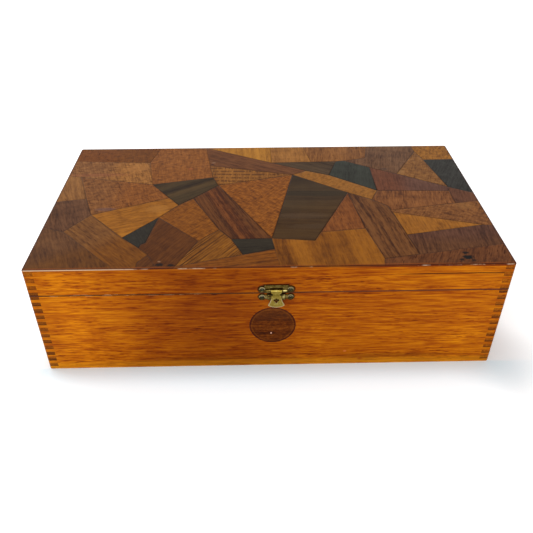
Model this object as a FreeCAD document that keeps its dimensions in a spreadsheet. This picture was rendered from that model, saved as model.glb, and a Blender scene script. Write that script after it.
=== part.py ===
import FreeCAD, Part
import os
import Sketcher

# A hinged wooden box: four finger-jointed boards and a bottom below the saw cut, four more
# boards and a panel above it, and a crazy-paving skin of mixed veneers on the lid.
# The origin is the centre of the base. X runs left to right, -Y is the catch side, Z is up.

doc = FreeCAD.newDocument("puzzle_box")
os.makedirs("parts", exist_ok=True)
Vector = FreeCAD.Vector

SIZES = (
    ("box_length", 360.0, "outside length, left to right"),
    ("box_depth", 200.0, "outside depth, front to back"),
    ("board", 7.5, "thickness of every side board"),
    ("finger", 3.175, "height of one finger of the corner joints"),
    ("case_fingers", 24, "fingers from the base to the saw cut"),
    ("lid_fingers", 7, "fingers from the saw cut to the top of the lid boards"),
    ("veneer", 1.575, "thickness of the veneers"),
    ("corner_round", 1.8, "rounding of the upright corners"),
    ("top_round", 0.8, "rounding of the top edge"),
    ("saw_round", 0.3, "eased edge either side of the saw cut"),
    ("foot_round", 0.5, "rounding of the bottom edge"),
    ("groove_depth", 3.5, "depth of the bottom's groove"),
    ("bottom_play", 0.175, "how much thinner the bottom is than its groove"),
    ("edge_play", 0.25, "gap at each edge of the bottom in its groove"),
    ("panel_thick", 4.5, "thickness of the lid panel"),
    ("rebate", 3.5, "width of the rebate the lid panel sits in"),
    ("panel_play", 0.1, "gap at each edge of the lid panel"),
    ("disc_radius", 18.0, "radius of the round inlay"),
    ("disc_thick", 2.0, "thickness of the round inlay"),
    ("disc_play", 0.1, "gap around the round inlay"),
    ("disc_side", 1.4, "round inlay, distance right of the middle"),
    ("disc_down", 32.6, "round inlay, centre below the saw cut"),
    ("hinge_spread", 220.0, "distance between the middles of the two hinges"),
    ("hinge_length", 38.0, "length of one hinge"),
    ("leaf_inset", 1.1, "wood left between a hinge leaf and the inside"),
    ("leaf_thick", 1.0, "thickness of a hinge leaf"),
    ("leaf_play", 0.1, "gap around a leaf in its mortise"),
    ("knuckle_radius", 1.9, "outer radius of the hinge barrel"),
    ("barrel_clear", 0.3, "gap between the barrel and the back face"),
    ("knuckle_gap", 0.2, "gap between neighbouring knuckles"),
    ("pin_radius", 0.8, "radius of the hinge pin"),
    ("pin_tight", 0.02, "radial gap of the pin in the case leaf"),
    ("pin_running", 0.06, "radial gap of the pin in the lid leaf"),
    ("screw_spread", 22.0, "distance between the two screws of a leaf"),
    ("screw_shift", 0.2, "screws off the leaf's middle, away from the barrel"),
    ("screw_radius", 1.0, "radius of a hinge screw"),
    ("screw_head", 2.0, "radius of a hinge screw's head"),
    ("screw_length", 8.0, "length of a hinge screw"),
    ("screw_point", 1.6, "length of a hinge screw's point"),
    ("pilot_spare", 0.2, "how much deeper than its screw a pilot hole is"),
    ("screw_play", 0.02, "radial gap around a hinge screw"),
    ("catch_side", 4.0, "catch centre, distance right of the middle"),
    ("plate_thick", 0.8, "thickness of both catch plates"),
    ("upper_half", 8.95, "half width of the middle of the upper plate"),
    ("lower_half", 9.0, "half width of the middle of the lower plate"),
    ("lower_rise", 2.3, "lower plate's upper edge above its nails"),
    ("lower_fall", 1.9, "lower plate's lower edge below its nails"),
    ("upper_drop", 7.0, "height of the upper plate"),
    ("upper_low", 0.2, "upper plate's lower edge above the saw cut"),
    ("upper_ear_out", 1.65, "upper plate's nails beyond the side of its middle"),
    ("upper_nail_up", 3.4, "upper plate's nails above the saw cut"),
    ("lower_ear_out", 1.7, "lower plate's nails beyond the side of its middle"),
    ("lower_nail_down", 3.9, "lower plate's nails below the saw cut"),
    ("ear_radius", 2.75, "radius of the rounded ears"),
    ("boss_half", 6.6, "half width of the raised middle of the lower plate"),
    ("boss_gap", 0.8, "raised middle's upper edge below the saw cut"),
    ("boss_under", 0.3, "raised middle's lower edge below the hook"),
    ("tongue_rest", 0.1, "gap between the hanging tongue and that middle"),
    ("nail_radius", 0.55, "radius of a nail"),
    ("nail_head", 1.2, "radius of a nail's head"),
    ("nail_thick", 0.6, "thickness of a nail's head"),
    ("nail_deep", 5.0, "how deep a nail goes into the wood"),
    ("nail_spare", 0.1, "how much deeper than its nail a nail hole is"),
    ("seat_deep", 0.5, "depth of the cone that a nail's head sits in"),
    ("seat_wider", 0.55, "how much wider than the head that cone opens"),
    ("nail_play", 0.03, "radial gap around a nail"),
    ("bar_radius", 0.5, "radius of the bar the tongue turns on"),
    ("roll_clear", 0.4, "gap between the tongue's roll and the wood"),
    ("bar_up", 2.8, "bar centre above the saw cut"),
    ("bar_running", 0.05, "radial gap of the tongue's roll on the bar"),
    ("bead_radius", 1.0, "radius of the beads that hold the bar"),
    ("bead_short", 0.6, "how far short of the plate's side a bead ends"),
    ("tongue_thick", 0.55, "thickness of the tongue"),
    ("tongue_half", 4.0, "half width of the tongue's roll"),
    ("window_play", 0.3, "gap either side of the tongue in its window"),
    ("window_above", 1.4, "window's upper edge above the bar's centre"),
    ("window_below", 1.8, "window's lower edge below the bar's centre"),
    ("hook_half", 0.55, "half width of the hook"),
    ("hook_thick", 0.8, "thickness of the hook's stem"),
    ("hook_rise", 1.45, "height of the hook's turned-up tip"),
    ("hook_past", 1.0, "how far the hook stands past the tongue"),
    ("hook_in_hole", 0.6, "hook's underside below the keyhole's widest place"),
)

sheet = doc.addObject("Spreadsheet::Sheet", "sizes")
size = {}
line = 1
for alias, number, meaning in SIZES:
    cell = "B" + str(line)
    sheet.set("A" + str(line), alias)
    sheet.set(cell, str(number))
    sheet.setAlias(cell, alias)
    sheet.set("C" + str(line), meaning)
    size[alias] = float(number)
    line = line + 1
doc.recompute()

half_length = size["box_length"] / 2
half_depth = size["box_depth"] / 2
rim = size["finger"] * size["case_fingers"]
lid_rim = rim + size["finger"] * size["lid_fingers"]
top = lid_rim + size["veneer"]
RIM = "sizes.finger * sizes.case_fingers"
LID_RIM = "sizes.finger * (sizes.case_fingers + sizes.lid_fingers)"

# Distances off the front and back faces, each a number with the expression that binds it.
barrel_out = (size["knuckle_radius"] + size["barrel_clear"], "sizes.knuckle_radius + sizes.barrel_clear")
roll_inner = (size["bar_radius"] + size["bar_running"], "sizes.bar_radius + sizes.bar_running")
roll_outer = (roll_inner[0] + size["tongue_thick"], roll_inner[1] + " + sizes.tongue_thick")
bar_out = (roll_outer[0] + size["roll_clear"], roll_outer[1] + " + sizes.roll_clear")
strip_out = (bar_out[0] + roll_inner[0], bar_out[1] + " + " + roll_inner[1])
boss_out = (strip_out[0] - size["tongue_rest"], strip_out[1] + " - sizes.tongue_rest")
hook_out = strip_out[0] + size["tongue_thick"] + size["hook_past"]
window_half = size["tongue_half"] + size["window_play"]
disc_z = (rim - size["disc_down"], RIM + " - sizes.disc_down")
leaf_depth = (size["board"] - size["leaf_inset"], "(sizes.board - sizes.leaf_inset)")
screw_in = (leaf_depth[0] / 2 + size["screw_shift"], "(" + leaf_depth[1] + " / 2 + sizes.screw_shift)")

# Half distances between things that stand in pairs either side of a middle.
HINGES = (size["hinge_spread"] / 2, "sizes.hinge_spread / 2")
SCREWS = (size["screw_spread"] / 2, "sizes.screw_spread / 2")
UPPER_NAILS = (size["upper_half"] + size["upper_ear_out"], "sizes.upper_half + sizes.upper_ear_out")
LOWER_NAILS = (size["lower_half"] + size["lower_ear_out"], "sizes.lower_half + sizes.lower_ear_out")


# ------------------------------------------------------------------ small helpers

def plane_of(body, role):
    """The body's own origin plane with this role."""
    for item in body.Origin.OriginFeatures:
        if item.Role == role:
            return item
    raise RuntimeError("no plane called " + role)


def sketch_on(body, name, role, lift):
    """A sketch on one of the body's planes, moved along the plane's normal; lift is (number, expression)."""
    sketch = body.newObject("Sketcher::SketchObject", name)
    sketch.AttachmentSupport = [(plane_of(body, role), "")]
    sketch.MapMode = "FlatFace"
    sketch.AttachmentOffset = FreeCAD.Placement(Vector(0, 0, lift[0]), FreeCAD.Rotation())
    sketch.setExpression("AttachmentOffset.Base.z", lift[1])
    return sketch


def hold(sketch, kind, geometry, point, place):
    """Hold one point's distance from the sketch origin; place is (number, expression)."""
    index = sketch.addConstraint(Sketcher.Constraint(kind, -1, 1, geometry, point, place[0]))
    sketch.setExpression("Constraints[" + str(index) + "]", place[1])


def rectangle(sketch, left, right, low, high):
    """A rectangle with each side held by a size."""
    first = sketch.GeometryCount
    corners = (
        Vector(left[0], low[0], 0),
        Vector(right[0], low[0], 0),
        Vector(right[0], high[0], 0),
        Vector(left[0], high[0], 0),
    )
    for step in range(4):
        sketch.addGeometry(Part.LineSegment(corners[step], corners[(step + 1) % 4]), False)
    for step in range(4):
        sketch.addConstraint(Sketcher.Constraint("Coincident", first + step, 2, first + (step + 1) % 4, 1))
    sketch.addConstraint(Sketcher.Constraint("Horizontal", first))
    sketch.addConstraint(Sketcher.Constraint("Vertical", first + 1))
    sketch.addConstraint(Sketcher.Constraint("Horizontal", first + 2))
    sketch.addConstraint(Sketcher.Constraint("Vertical", first + 3))
    hold(sketch, "DistanceX", first, 1, left)
    hold(sketch, "DistanceY", first, 1, low)
    hold(sketch, "DistanceX", first + 1, 2, right)
    hold(sketch, "DistanceY", first + 1, 2, high)


def circle(sketch, across, up, radius):
    """A circle with its centre and radius held by sizes."""
    centre = Vector(across[0], up[0], 0)
    index = sketch.addGeometry(Part.Circle(centre, Vector(0, 0, 1), radius[0]), False)
    hold(sketch, "DistanceX", index, 3, across)
    hold(sketch, "DistanceY", index, 3, up)
    held = sketch.addConstraint(Sketcher.Constraint("Radius", index, radius[0]))
    sketch.setExpression("Constraints[" + str(held) + "]", radius[1])


def pad(body, name, sketch, length, reverse):
    """A pad of this length."""
    feature = body.newObject("PartDesign::Pad", name)
    feature.Profile = sketch
    feature.Length = length[0]
    feature.setExpression("Length", length[1])
    feature.Reversed = reverse
    doc.recompute()
    return feature


def pocket(body, name, sketch, length, reverse):
    """A pocket of this depth."""
    before = body.Shape.Volume
    feature = body.newObject("PartDesign::Pocket", name)
    feature.Profile = sketch
    feature.Length = length[0]
    feature.setExpression("Length", length[1])
    feature.Reversed = reverse
    doc.recompute()
    if body.Shape.Volume >= before - 0.001:
        raise RuntimeError(name + " cut nothing")
    return feature


def block(name, low, high):
    """A plain box between two corners."""
    shape = doc.addObject("Part::Box", name)
    shape.Length = high[0] - low[0]
    shape.Width = high[1] - low[1]
    shape.Height = high[2] - low[2]
    shape.Placement.Base = Vector(low[0], low[1], low[2])
    return shape


def rod(name, radius, start, direction, length):
    """A cylinder from a start point along a direction."""
    shape = doc.addObject("Part::Cylinder", name)
    shape.Radius = radius
    shape.Height = length
    shape.Placement = FreeCAD.Placement(start, FreeCAD.Rotation(Vector(0, 0, 1), direction))
    return shape


def taper(name, radius_start, radius_end, start, direction, length):
    """A cone from a start point along a direction."""
    shape = doc.addObject("Part::Cone", name)
    shape.Radius1 = radius_start
    shape.Radius2 = radius_end
    shape.Height = length
    shape.Placement = FreeCAD.Placement(start, FreeCAD.Rotation(Vector(0, 0, 1), direction))
    return shape


def joined(name, pieces):
    """Several shapes made into one solid."""
    shape = doc.addObject("Part::MultiFuse", name)
    shape.Shapes = pieces
    shape.Refine = True
    doc.recompute()
    return shape


def less(name, base, tools):
    """A shape with several others cut away."""
    result = base
    count = 0
    for tool in tools:
        count = count + 1
        last = doc.addObject("Part::Cut", name if count == len(tools) else name + "_cut_" + str(count))
        last.Base = result
        last.Tool = tool
        result = last
        doc.recompute()
    return result


def eased(name, base, chosen):
    """A shape with some edges rounded; chosen gives a radius for an edge, or 0."""
    feature = doc.addObject("Part::Fillet", name)
    feature.Base = base
    edges = []
    for number, edge in enumerate(base.Shape.Edges):
        radius = chosen(edge)
        if radius > 0:
            edges.append((number + 1, radius, radius))
    if not edges:
        raise RuntimeError(name + " found no edge to round")
    feature.Edges = edges
    doc.recompute()
    return feature


def together(name, pieces):
    """Separate solids kept in one part."""
    shape = doc.addObject("Part::Compound", name)
    shape.Links = pieces
    doc.recompute()
    return shape


NODES = []


def node(name, shape):
    """Name a finished sub-part."""
    shape.Label = name
    NODES.append((name, shape))
    return shape


# ------------------------------------------------------------------ rounded outsides

def outside(name, low, high, low_round, high_round):
    """A block the size of the case or the lid, with its upright and flat edges rounded."""
    plain = block(name + "_block", (-half_length, -half_depth, low), (half_length, half_depth, high))
    plain.setExpression("Length", "sizes.box_length")
    plain.setExpression("Width", "sizes.box_depth")
    doc.recompute()

    def upright(edge):
        span = edge.BoundBox
        return size["corner_round"] if span.ZLength > 1 else 0

    corners = eased(name + "_corners", plain, upright)

    def flat(edge):
        span = edge.BoundBox
        if span.ZLength > 0.001:
            return 0
        return low_round if abs(span.ZMin - low) < 0.01 else high_round

    return eased(name, corners, flat)


case_outside = outside("case_outside", 0.0, rim, size["foot_round"], size["saw_round"])
lid_outside = outside("lid_outside", rim, top, size["saw_round"], size["top_round"])


def within(name, base, skin):
    """A part trimmed to the rounded outside."""
    shape = doc.addObject("Part::Common", name)
    shape.Base = base
    shape.Tool = skin
    doc.recompute()
    return shape


# ------------------------------------------------------------------ finger-jointed boards

THICK = (size["board"], "sizes.board")
TWO_FINGERS = 2 * size["finger"]

# For each side of the box: its plane, its half run, how far out it stands, and which way
# the wood lies from its inner face.
SIDES = {
    "front": ("XZ_Plane", "box_length", "box_depth", 1, True),
    "back": ("XZ_Plane", "box_length", "box_depth", -1, False),
    "left": ("YZ_Plane", "box_depth", "box_length", -1, False),
    "right": ("YZ_Plane", "box_depth", "box_length", 1, True),
}


def board(name, side, low, high, first_notch, notches):
    """One side board with its end fingers; low and high are (number, expression)."""
    role, run, stand, sign, outward = SIDES[side]
    body = doc.addObject("PartDesign::Body", name)
    half_run = size[run] / 2
    sign_text = "1" if sign > 0 else "-1"
    inner = (
        sign * (size[stand] / 2 - size["board"]),
        sign_text + " * (sizes." + stand + " / 2 - sizes.board)",
    )
    left = (-half_run, "-sizes." + run + " / 2")
    right = (half_run, "sizes." + run + " / 2")

    face = sketch_on(body, name + "_face", role, inner)
    rectangle(face, left, right, low, high)
    pad(body, name + "_pad", face, THICK, not outward)

    notch_low = (low[0] + first_notch * size["finger"], low[1] + " + " + str(first_notch) + " * sizes.finger")
    notch_high = (notch_low[0] + size["finger"], notch_low[1] + " + sizes.finger")
    left_in = (-half_run + size["board"], "-sizes." + run + " / 2 + sizes.board")
    right_in = (half_run - size["board"], "sizes." + run + " / 2 - sizes.board")
    notch = sketch_on(body, name + "_notch", role, inner)
    rectangle(notch, left, left_in, notch_low, notch_high)
    rectangle(notch, right_in, right, notch_low, notch_high)
    cut = pocket(body, name + "_notches", notch, THICK, outward)

    fingers = body.newObject("PartDesign::LinearPattern", name + "_fingers")
    fingers.Originals = [cut]
    fingers.Direction = (notch, ["V_Axis"])
    fingers.Length = TWO_FINGERS * (notches - 1)
    fingers.setExpression("Length", "2 * sizes.finger * " + str(notches - 1))
    fingers.Occurrences = notches
    body.Tip = fingers
    doc.recompute()
    return body


def channel(body, name, side, low, high, wide):
    """A groove or rebate along the inside of a board, stopped short of the outside; wide names its depth."""
    role, run, stand, sign, outward = SIDES[side]
    sign_text = "1" if sign > 0 else "-1"
    inner = (
        sign * (size[stand] / 2 - size["board"]),
        sign_text + " * (sizes." + stand + " / 2 - sizes.board)",
    )
    reach = size[run] / 2 - size["board"] + size[wide]
    reach_text = "(sizes." + run + " / 2 - sizes.board + sizes." + wide + ")"
    sketch = sketch_on(body, name + "_sketch", role, inner)
    rectangle(sketch, (-reach, "-1 * " + reach_text), (reach, reach_text), low, high)
    pocket(body, name, sketch, (size[wide], "sizes." + wide), outward)


case_low = (0.0, "0 * sizes.finger")
case_high = (rim, RIM)
lid_high = (lid_rim, LID_RIM)
groove_low = (size["finger"], "sizes.finger")
groove_high = (2 * size["finger"], "2 * sizes.finger")
rebate_low = (lid_rim - size["panel_thick"], LID_RIM + " - sizes.panel_thick")

case_count = int(size["case_fingers"])
lid_count = int(size["lid_fingers"])
case_boards = {}
lid_boards = {}
for side in ("front", "back", "left", "right"):
    long_board = side in ("front", "back")
    # Below the cut the long boards start with a finger and the short ones with a notch.
    first = 1 if long_board else 0
    notches = case_count // 2 if long_board else (case_count + 1) // 2
    case_boards[side] = board("case_" + side + "_board", side, case_low, case_high, first, notches)
    channel(case_boards[side], "case_" + side + "_groove", side, groove_low, groove_high, "groove_depth")
    # The saw took one finger's height, so above it the short boards start with a finger.
    first = 0 if long_board else 1
    notches = (lid_count + 1) // 2 if long_board else lid_count // 2
    lid_boards[side] = board("lid_" + side + "_board", side, case_high, lid_high, first, notches)
    channel(lid_boards[side], "lid_" + side + "_rebate", side, rebate_low, lid_high, "rebate")


# ------------------------------------------------------------------ cuts for the hardware

def both_sides(half):
    """Two places either side of the middle; half is (number, expression)."""
    return ((-half[0], "-(" + half[1] + ")"), half)


def hinge_cuts(body, name, upward):
    """Mortises for two leaves and pilot holes for their screws, from the saw cut."""
    level = (rim, RIM)
    half_leaf = size["hinge_length"] / 2 + size["leaf_play"]
    half_text = "(sizes.hinge_length / 2 + sizes.leaf_play)"
    inner_edge = (
        half_depth - leaf_depth[0] - size["leaf_play"],
        "sizes.box_depth / 2 - " + leaf_depth[1] + " - sizes.leaf_play",
    )
    outer_edge = (half_depth, "sizes.box_depth / 2")
    mortise = sketch_on(body, name + "_mortise", "XY_Plane", level)
    for middle in both_sides(HINGES):
        left = (middle[0] - half_leaf, middle[1] + " - " + half_text)
        right = (middle[0] + half_leaf, middle[1] + " + " + half_text)
        rectangle(mortise, left, right, inner_edge, outer_edge)
    pocket(body, name + "_mortises", mortise, (size["leaf_thick"], "sizes.leaf_thick"), upward)
    pilot = sketch_on(body, name + "_pilot", "XY_Plane", level)
    in_from_back = (half_depth - screw_in[0], "sizes.box_depth / 2 - " + screw_in[1])
    pilot_radius = (size["screw_radius"] + size["screw_play"], "sizes.screw_radius + sizes.screw_play")
    for middle in both_sides(HINGES):
        for apart in both_sides(SCREWS):
            across = (middle[0] + apart[0], middle[1] + " + (" + apart[1] + ")")
            circle(pilot, across, in_from_back, pilot_radius)
    pilot_deep = (size["screw_length"] + size["pilot_spare"], "sizes.screw_length + sizes.pilot_spare")
    pocket(body, name + "_pilots", pilot, pilot_deep, upward)


hinge_cuts(case_boards["back"], "case_hinge", False)
hinge_cuts(lid_boards["back"], "lid_hinge", True)


def nail_holes(body, name, half, up):
    """Two nail holes from the front face."""
    face = (half_depth, "sizes.box_depth / 2")
    sketch = sketch_on(body, name + "_sketch", "XZ_Plane", face)
    radius = (size["nail_radius"] + size["nail_play"], "sizes.nail_radius + sizes.nail_play")
    for apart in both_sides(half):
        across = (size["catch_side"] + apart[0], "sizes.catch_side + (" + apart[1] + ")")
        circle(sketch, across, up, radius)
    nail_hole = (size["nail_deep"] + size["nail_spare"], "sizes.nail_deep + sizes.nail_spare")
    pocket(body, name, sketch, nail_hole, False)


upper_nail = (rim + size["upper_nail_up"], RIM + " + sizes.upper_nail_up")
lower_nail = (rim - size["lower_nail_down"], RIM + " - sizes.lower_nail_down")
nail_holes(lid_boards["front"], "upper_nail_holes", UPPER_NAILS, upper_nail)
nail_holes(case_boards["front"], "lower_nail_holes", LOWER_NAILS, lower_nail)

recess = sketch_on(case_boards["front"], "disc_recess_sketch", "XZ_Plane", (half_depth, "sizes.box_depth / 2"))
circle(
    recess,
    (size["disc_side"], "sizes.disc_side"),
    disc_z,
    (size["disc_radius"] + size["disc_play"], "sizes.disc_radius + sizes.disc_play"),
)
pocket(case_boards["front"], "disc_recess", recess, (size["disc_thick"], "sizes.disc_thick"), False)

for side in ("front", "back", "left", "right"):
    node("case_" + side, within("case_" + side, case_boards[side], case_outside))
for side in ("front", "back", "left", "right"):
    node("lid_" + side, within("lid_" + side, lid_boards[side], lid_outside))


# ------------------------------------------------------------------ bottom, lid panel and inlay

def panel(name, cover, play, low, thick):
    """A flat board that fills the inside and reaches into the groove or rebate around it."""
    half_x = half_length - size["board"] + size[cover] - size[play]
    half_y = half_depth - size["board"] + size[cover] - size[play]
    shape = block(name, (-half_x, -half_y, low), (half_x, half_y, low + thick[0]))
    around = "2 * sizes.board + 2 * sizes." + cover + " - 2 * sizes." + play
    shape.setExpression("Length", "sizes.box_length - " + around)
    shape.setExpression("Width", "sizes.box_depth - " + around)
    shape.setExpression("Height", thick[1])
    return shape


bottom_thick = (size["finger"] - size["bottom_play"], "sizes.finger - sizes.bottom_play")
node("case_bottom", panel("case_bottom", "groove_depth", "edge_play", size["finger"], bottom_thick))
panel_thick = (size["panel_thick"], "sizes.panel_thick")
node("lid_panel", panel("lid_panel", "rebate", "panel_play", lid_rim - panel_thick[0], panel_thick))

disc = rod(
    "front_disc",
    size["disc_radius"],
    Vector(size["disc_side"], -half_depth + size["disc_thick"], disc_z[0]),
    Vector(0, -1, 0),
    size["disc_thick"],
)
disc.setExpression("Radius", "sizes.disc_radius")
disc.setExpression("Height", "sizes.disc_thick")
node("front_disc", disc)


# ------------------------------------------------------------------ butt hinges

barrel_y = half_depth + barrel_out[0]
KNUCKLES = 5
pitch = size["hinge_length"] / KNUCKLES
# How far one shape runs into or past another, so that they join or cut cleanly.
OVERLAP = 1.0


def leaf(name, middle, upward, mine):
    """One hinge leaf: a plate, its knuckles, and the holes through both."""
    low = rim if upward else rim - size["leaf_thick"]
    start = middle - size["hinge_length"] / 2
    plate = block(
        name + "_plate",
        (start, half_depth - leaf_depth[0], low),
        (start + size["hinge_length"], half_depth, low + size["leaf_thick"]),
    )
    plate.setExpression("Length", "sizes.hinge_length")
    plate.setExpression("Width", leaf_depth[1])
    plate.setExpression("Height", "sizes.leaf_thick")
    pieces = [plate]
    for number in mine:
        left = start + number * pitch + (size["knuckle_gap"] / 2 if number > 0 else 0)
        right = start + (number + 1) * pitch - (size["knuckle_gap"] / 2 if number < KNUCKLES - 1 else 0)
        tab_low = (left, half_depth - OVERLAP, low)
        tab_high = (right, barrel_y, low + size["leaf_thick"])
        pieces.append(block(name + "_tab_" + str(number), tab_low, tab_high))
        end = Vector(left, barrel_y, rim)
        tag = name + "_knuckle_" + str(number)
        knuckle = rod(tag, size["knuckle_radius"], end, Vector(1, 0, 0), right - left)
        knuckle.setExpression("Radius", "sizes.knuckle_radius")
        pieces.append(knuckle)
    solid = joined(name + "_solid", pieces)
    gap = "pin_running" if upward else "pin_tight"
    bore_start = Vector(start - OVERLAP, barrel_y, rim)
    bore_length = size["hinge_length"] + 2 * OVERLAP
    bore = rod(name + "_bore", size["pin_radius"], bore_start, Vector(1, 0, 0), bore_length)
    bore.setExpression("Radius", "sizes.pin_radius + sizes." + gap)
    tools = [bore]
    way = Vector(0, 0, 1) if upward else Vector(0, 0, -1)
    for apart in both_sides(SCREWS):
        place = Vector(middle + apart[0], half_depth - screw_in[0], rim)
        wide = size["screw_head"] + size["screw_play"]
        narrow = size["screw_radius"] + size["screw_play"]
        number = str(len(tools))
        tools.append(taper(name + "_seat_" + number, wide, narrow, place, way, size["leaf_thick"]))
    doc.recompute()
    return less(name, solid, tools)


SCREW_TIP = 0.2
SLOT_DEEP = 0.45
SLOT_HALF = 0.25


def screw(name, place, way):
    """A slotted countersunk wood screw, head flush at its place."""
    head = taper(name + "_head", size["screw_head"], size["screw_radius"], place, way, size["leaf_thick"])
    even = size["screw_length"] - size["screw_point"]
    shank = rod(name + "_shank", size["screw_radius"], place, way, even)
    shank.setExpression("Radius", "sizes.screw_radius")
    point_start = place + way * even
    point = taper(name + "_point", size["screw_radius"], SCREW_TIP, point_start, way, size["screw_point"])
    solid = joined(name + "_solid", [head, shank, point])
    reach = size["screw_head"] + OVERLAP
    low = (place.x - reach, place.y - SLOT_HALF, min(place.z, place.z + way.z * SLOT_DEEP))
    high = (place.x + reach, place.y + SLOT_HALF, max(place.z, place.z + way.z * SLOT_DEEP))
    return less(name, solid, [block(name + "_slot", low, high)])


case_screws = []
lid_screws = []
for name, sign in (("left", -1), ("right", 1)):
    middle = sign * size["hinge_spread"] / 2
    node("hinge_" + name + "_case_leaf", leaf("hinge_" + name + "_case_leaf", middle, False, (0, 2, 4)))
    node("hinge_" + name + "_lid_leaf", leaf("hinge_" + name + "_lid_leaf", middle, True, (1, 3)))
    pin_start = Vector(middle - size["hinge_length"] / 2, barrel_y, rim)
    pin = rod("hinge_" + name + "_pin", size["pin_radius"], pin_start, Vector(1, 0, 0), size["hinge_length"])
    pin.setExpression("Radius", "sizes.pin_radius")
    pin.setExpression("Height", "sizes.hinge_length")
    node("hinge_" + name + "_pin", pin)
    for apart in both_sides(SCREWS):
        place = Vector(middle + apart[0], half_depth - screw_in[0], rim)
        tag = name + "_" + ("a" if apart[0] < 0 else "b")
        case_screws.append(screw("case_screw_" + tag, place, Vector(0, 0, -1)))
        lid_screws.append(screw("lid_screw_" + tag, place, Vector(0, 0, 1)))
node("hinge_case_screws", together("hinge_case_screws", case_screws))
node("hinge_lid_screws", together("hinge_lid_screws", lid_screws))


# ------------------------------------------------------------------ brass catch

catch_x = size["catch_side"]
bar_y = -half_depth - bar_out[0]
bar_z = rim + size["bar_up"]
OUT = Vector(0, -1, 0)


# The tongue, in distances across from the catch's centre line and down from the bar.
# Half of the outline: the square top at the roll, a notched neck, the shoulder and the bell.
ROLL_END = 1.0
NECK_TOP = (3.3, 1.9)
NECK = (2.55, 3.1)
SHOULDER = (3.7, 4.3)
FLARE = (4.35, 8.6)
BELL = (6.0, 12.3)
BELL_TURN = (5.95, 13.3)
BELL_END = (5.2, 13.9)
BELL_LOW = (0.0, 15.1)
# The keyhole that drops over the hook, wide above and narrow below.
HOLE_TOP = (0.0, 6.8)
HOLE_WIDE = (1.65, 7.9)
HOLE_NARROW = (0.55, 10.5)
HOLE_LOW = (0.0, 10.9)


def off_wood(out):
    """The Y of something this far in front of the front face."""
    return -half_depth - out


def ear(name, side_x, height, radius):
    """A rounded ear of a catch plate."""
    return rod(name, radius, Vector(side_x, off_wood(0), height), OUT, size["plate_thick"])


def nail_seats(name, half, height):
    """Countersunk nail holes through a plate's two ears."""
    tools = []
    for apart in both_sides(half):
        side_x = catch_x + apart[0]
        tag = name + ("_left" if apart[0] < 0 else "_right")
        hole = size["nail_radius"] + size["nail_play"]
        through = size["plate_thick"] + 2 * OVERLAP
        tools.append(rod(tag + "_hole", hole, Vector(side_x, off_wood(-OVERLAP), height), OUT, through))
        seat_start = Vector(side_x, off_wood(size["plate_thick"] - size["seat_deep"]), height)
        seat_open = size["nail_head"] + size["seat_wider"]
        tools.append(taper(tag + "_seat", hole, seat_open, seat_start, OUT, size["seat_deep"]))
    return tools


def front_edges(level, radius):
    """Choose the edges that lie on a plane facing front."""
    def chosen(edge):
        span = edge.BoundBox
        on_plane = abs(span.YMin - level) < 0.001 and abs(span.YMax - level) < 0.001
        return radius if on_plane else 0
    return chosen


PLATE_ROUND = 0.3


# Upper plate: a flat stamped plate with a window, and the bar across it held by two beads.
upper_low = rim + size["upper_low"]
upper_high = upper_low + size["upper_drop"]
upper_ear_z = rim + size["upper_nail_up"]
middle_block = block(
    "upper_middle",
    (catch_x - size["upper_half"], off_wood(size["plate_thick"]), upper_low),
    (catch_x + size["upper_half"], off_wood(0), upper_high),
)
middle_block.setExpression("Width", "sizes.plate_thick")
middle_block.setExpression("Height", "sizes.upper_drop")
upper_pieces = [middle_block]
for apart in both_sides(UPPER_NAILS):
    tag = "left" if apart[0] < 0 else "right"
    upper_pieces.append(ear("upper_ear_" + tag, catch_x + apart[0], upper_ear_z, size["ear_radius"]))
upper_flat = joined("upper_flat", upper_pieces)
upper_soft = eased("upper_soft", upper_flat, front_edges(off_wood(size["plate_thick"]), PLATE_ROUND))
window = block(
    "upper_window",
    (catch_x - window_half, off_wood(size["plate_thick"] + OVERLAP), bar_z - size["window_below"]),
    (catch_x + window_half, off_wood(-OVERLAP), bar_z + size["window_above"]),
)
doc.recompute()
upper_cut = less("upper_cut", upper_soft, [window] + nail_seats("upper_nail", UPPER_NAILS, upper_ear_z))
# The beads stand a little further out than the bar, and stop just short of the wood behind.
BEAD_PROUD = 0.1
BEAD_OFF_WOOD = 0.2
BEAD_END_ROUND = 0.5
BAR_GRIP = 0.8
bead_out = bar_out[0] + size["bar_radius"] - size["bead_radius"] + BEAD_PROUD
bead_pieces = [upper_cut]
for sign in (-1, 1):
    tag = "left" if sign < 0 else "right"
    bead_start = Vector(catch_x + sign * window_half, off_wood(bead_out), bar_z)
    bead_length = size["upper_half"] - size["bead_short"] - window_half
    bead = rod("upper_bead_" + tag, size["bead_radius"], bead_start, Vector(sign, 0, 0), bead_length)
    doc.recompute()
    far_end = bead_start.x + sign * bead_length

    def bead_end(edge):
        span = edge.BoundBox
        at_end = abs(span.XMin - far_end) < 0.001 and abs(span.XMax - far_end) < 0.001
        return BEAD_END_ROUND if at_end else 0

    bead_soft = eased("upper_bead_soft_" + tag, bead, bead_end)
    # The part of the bead that would dip into the wood is left off.
    across = 2 * size["bead_radius"]
    keep = block(
        "upper_bead_keep_" + tag,
        (catch_x - size["upper_half"], off_wood(bead_out + across), bar_z - across),
        (catch_x + size["upper_half"], off_wood(BEAD_OFF_WOOD), bar_z + across),
    )
    bead_pieces.append(within("upper_bead_" + tag + "_kept", bead_soft, keep))
bar_length = 2 * (window_half + BAR_GRIP)
bar_start = Vector(catch_x - bar_length / 2, bar_y, bar_z)
bar = rod("upper_bar", size["bar_radius"], bar_start, Vector(1, 0, 0), bar_length)
bar.setExpression("Radius", "sizes.bar_radius")
bead_pieces.append(bar)
node("catch_upper_plate", joined("catch_upper_plate", bead_pieces))

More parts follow.
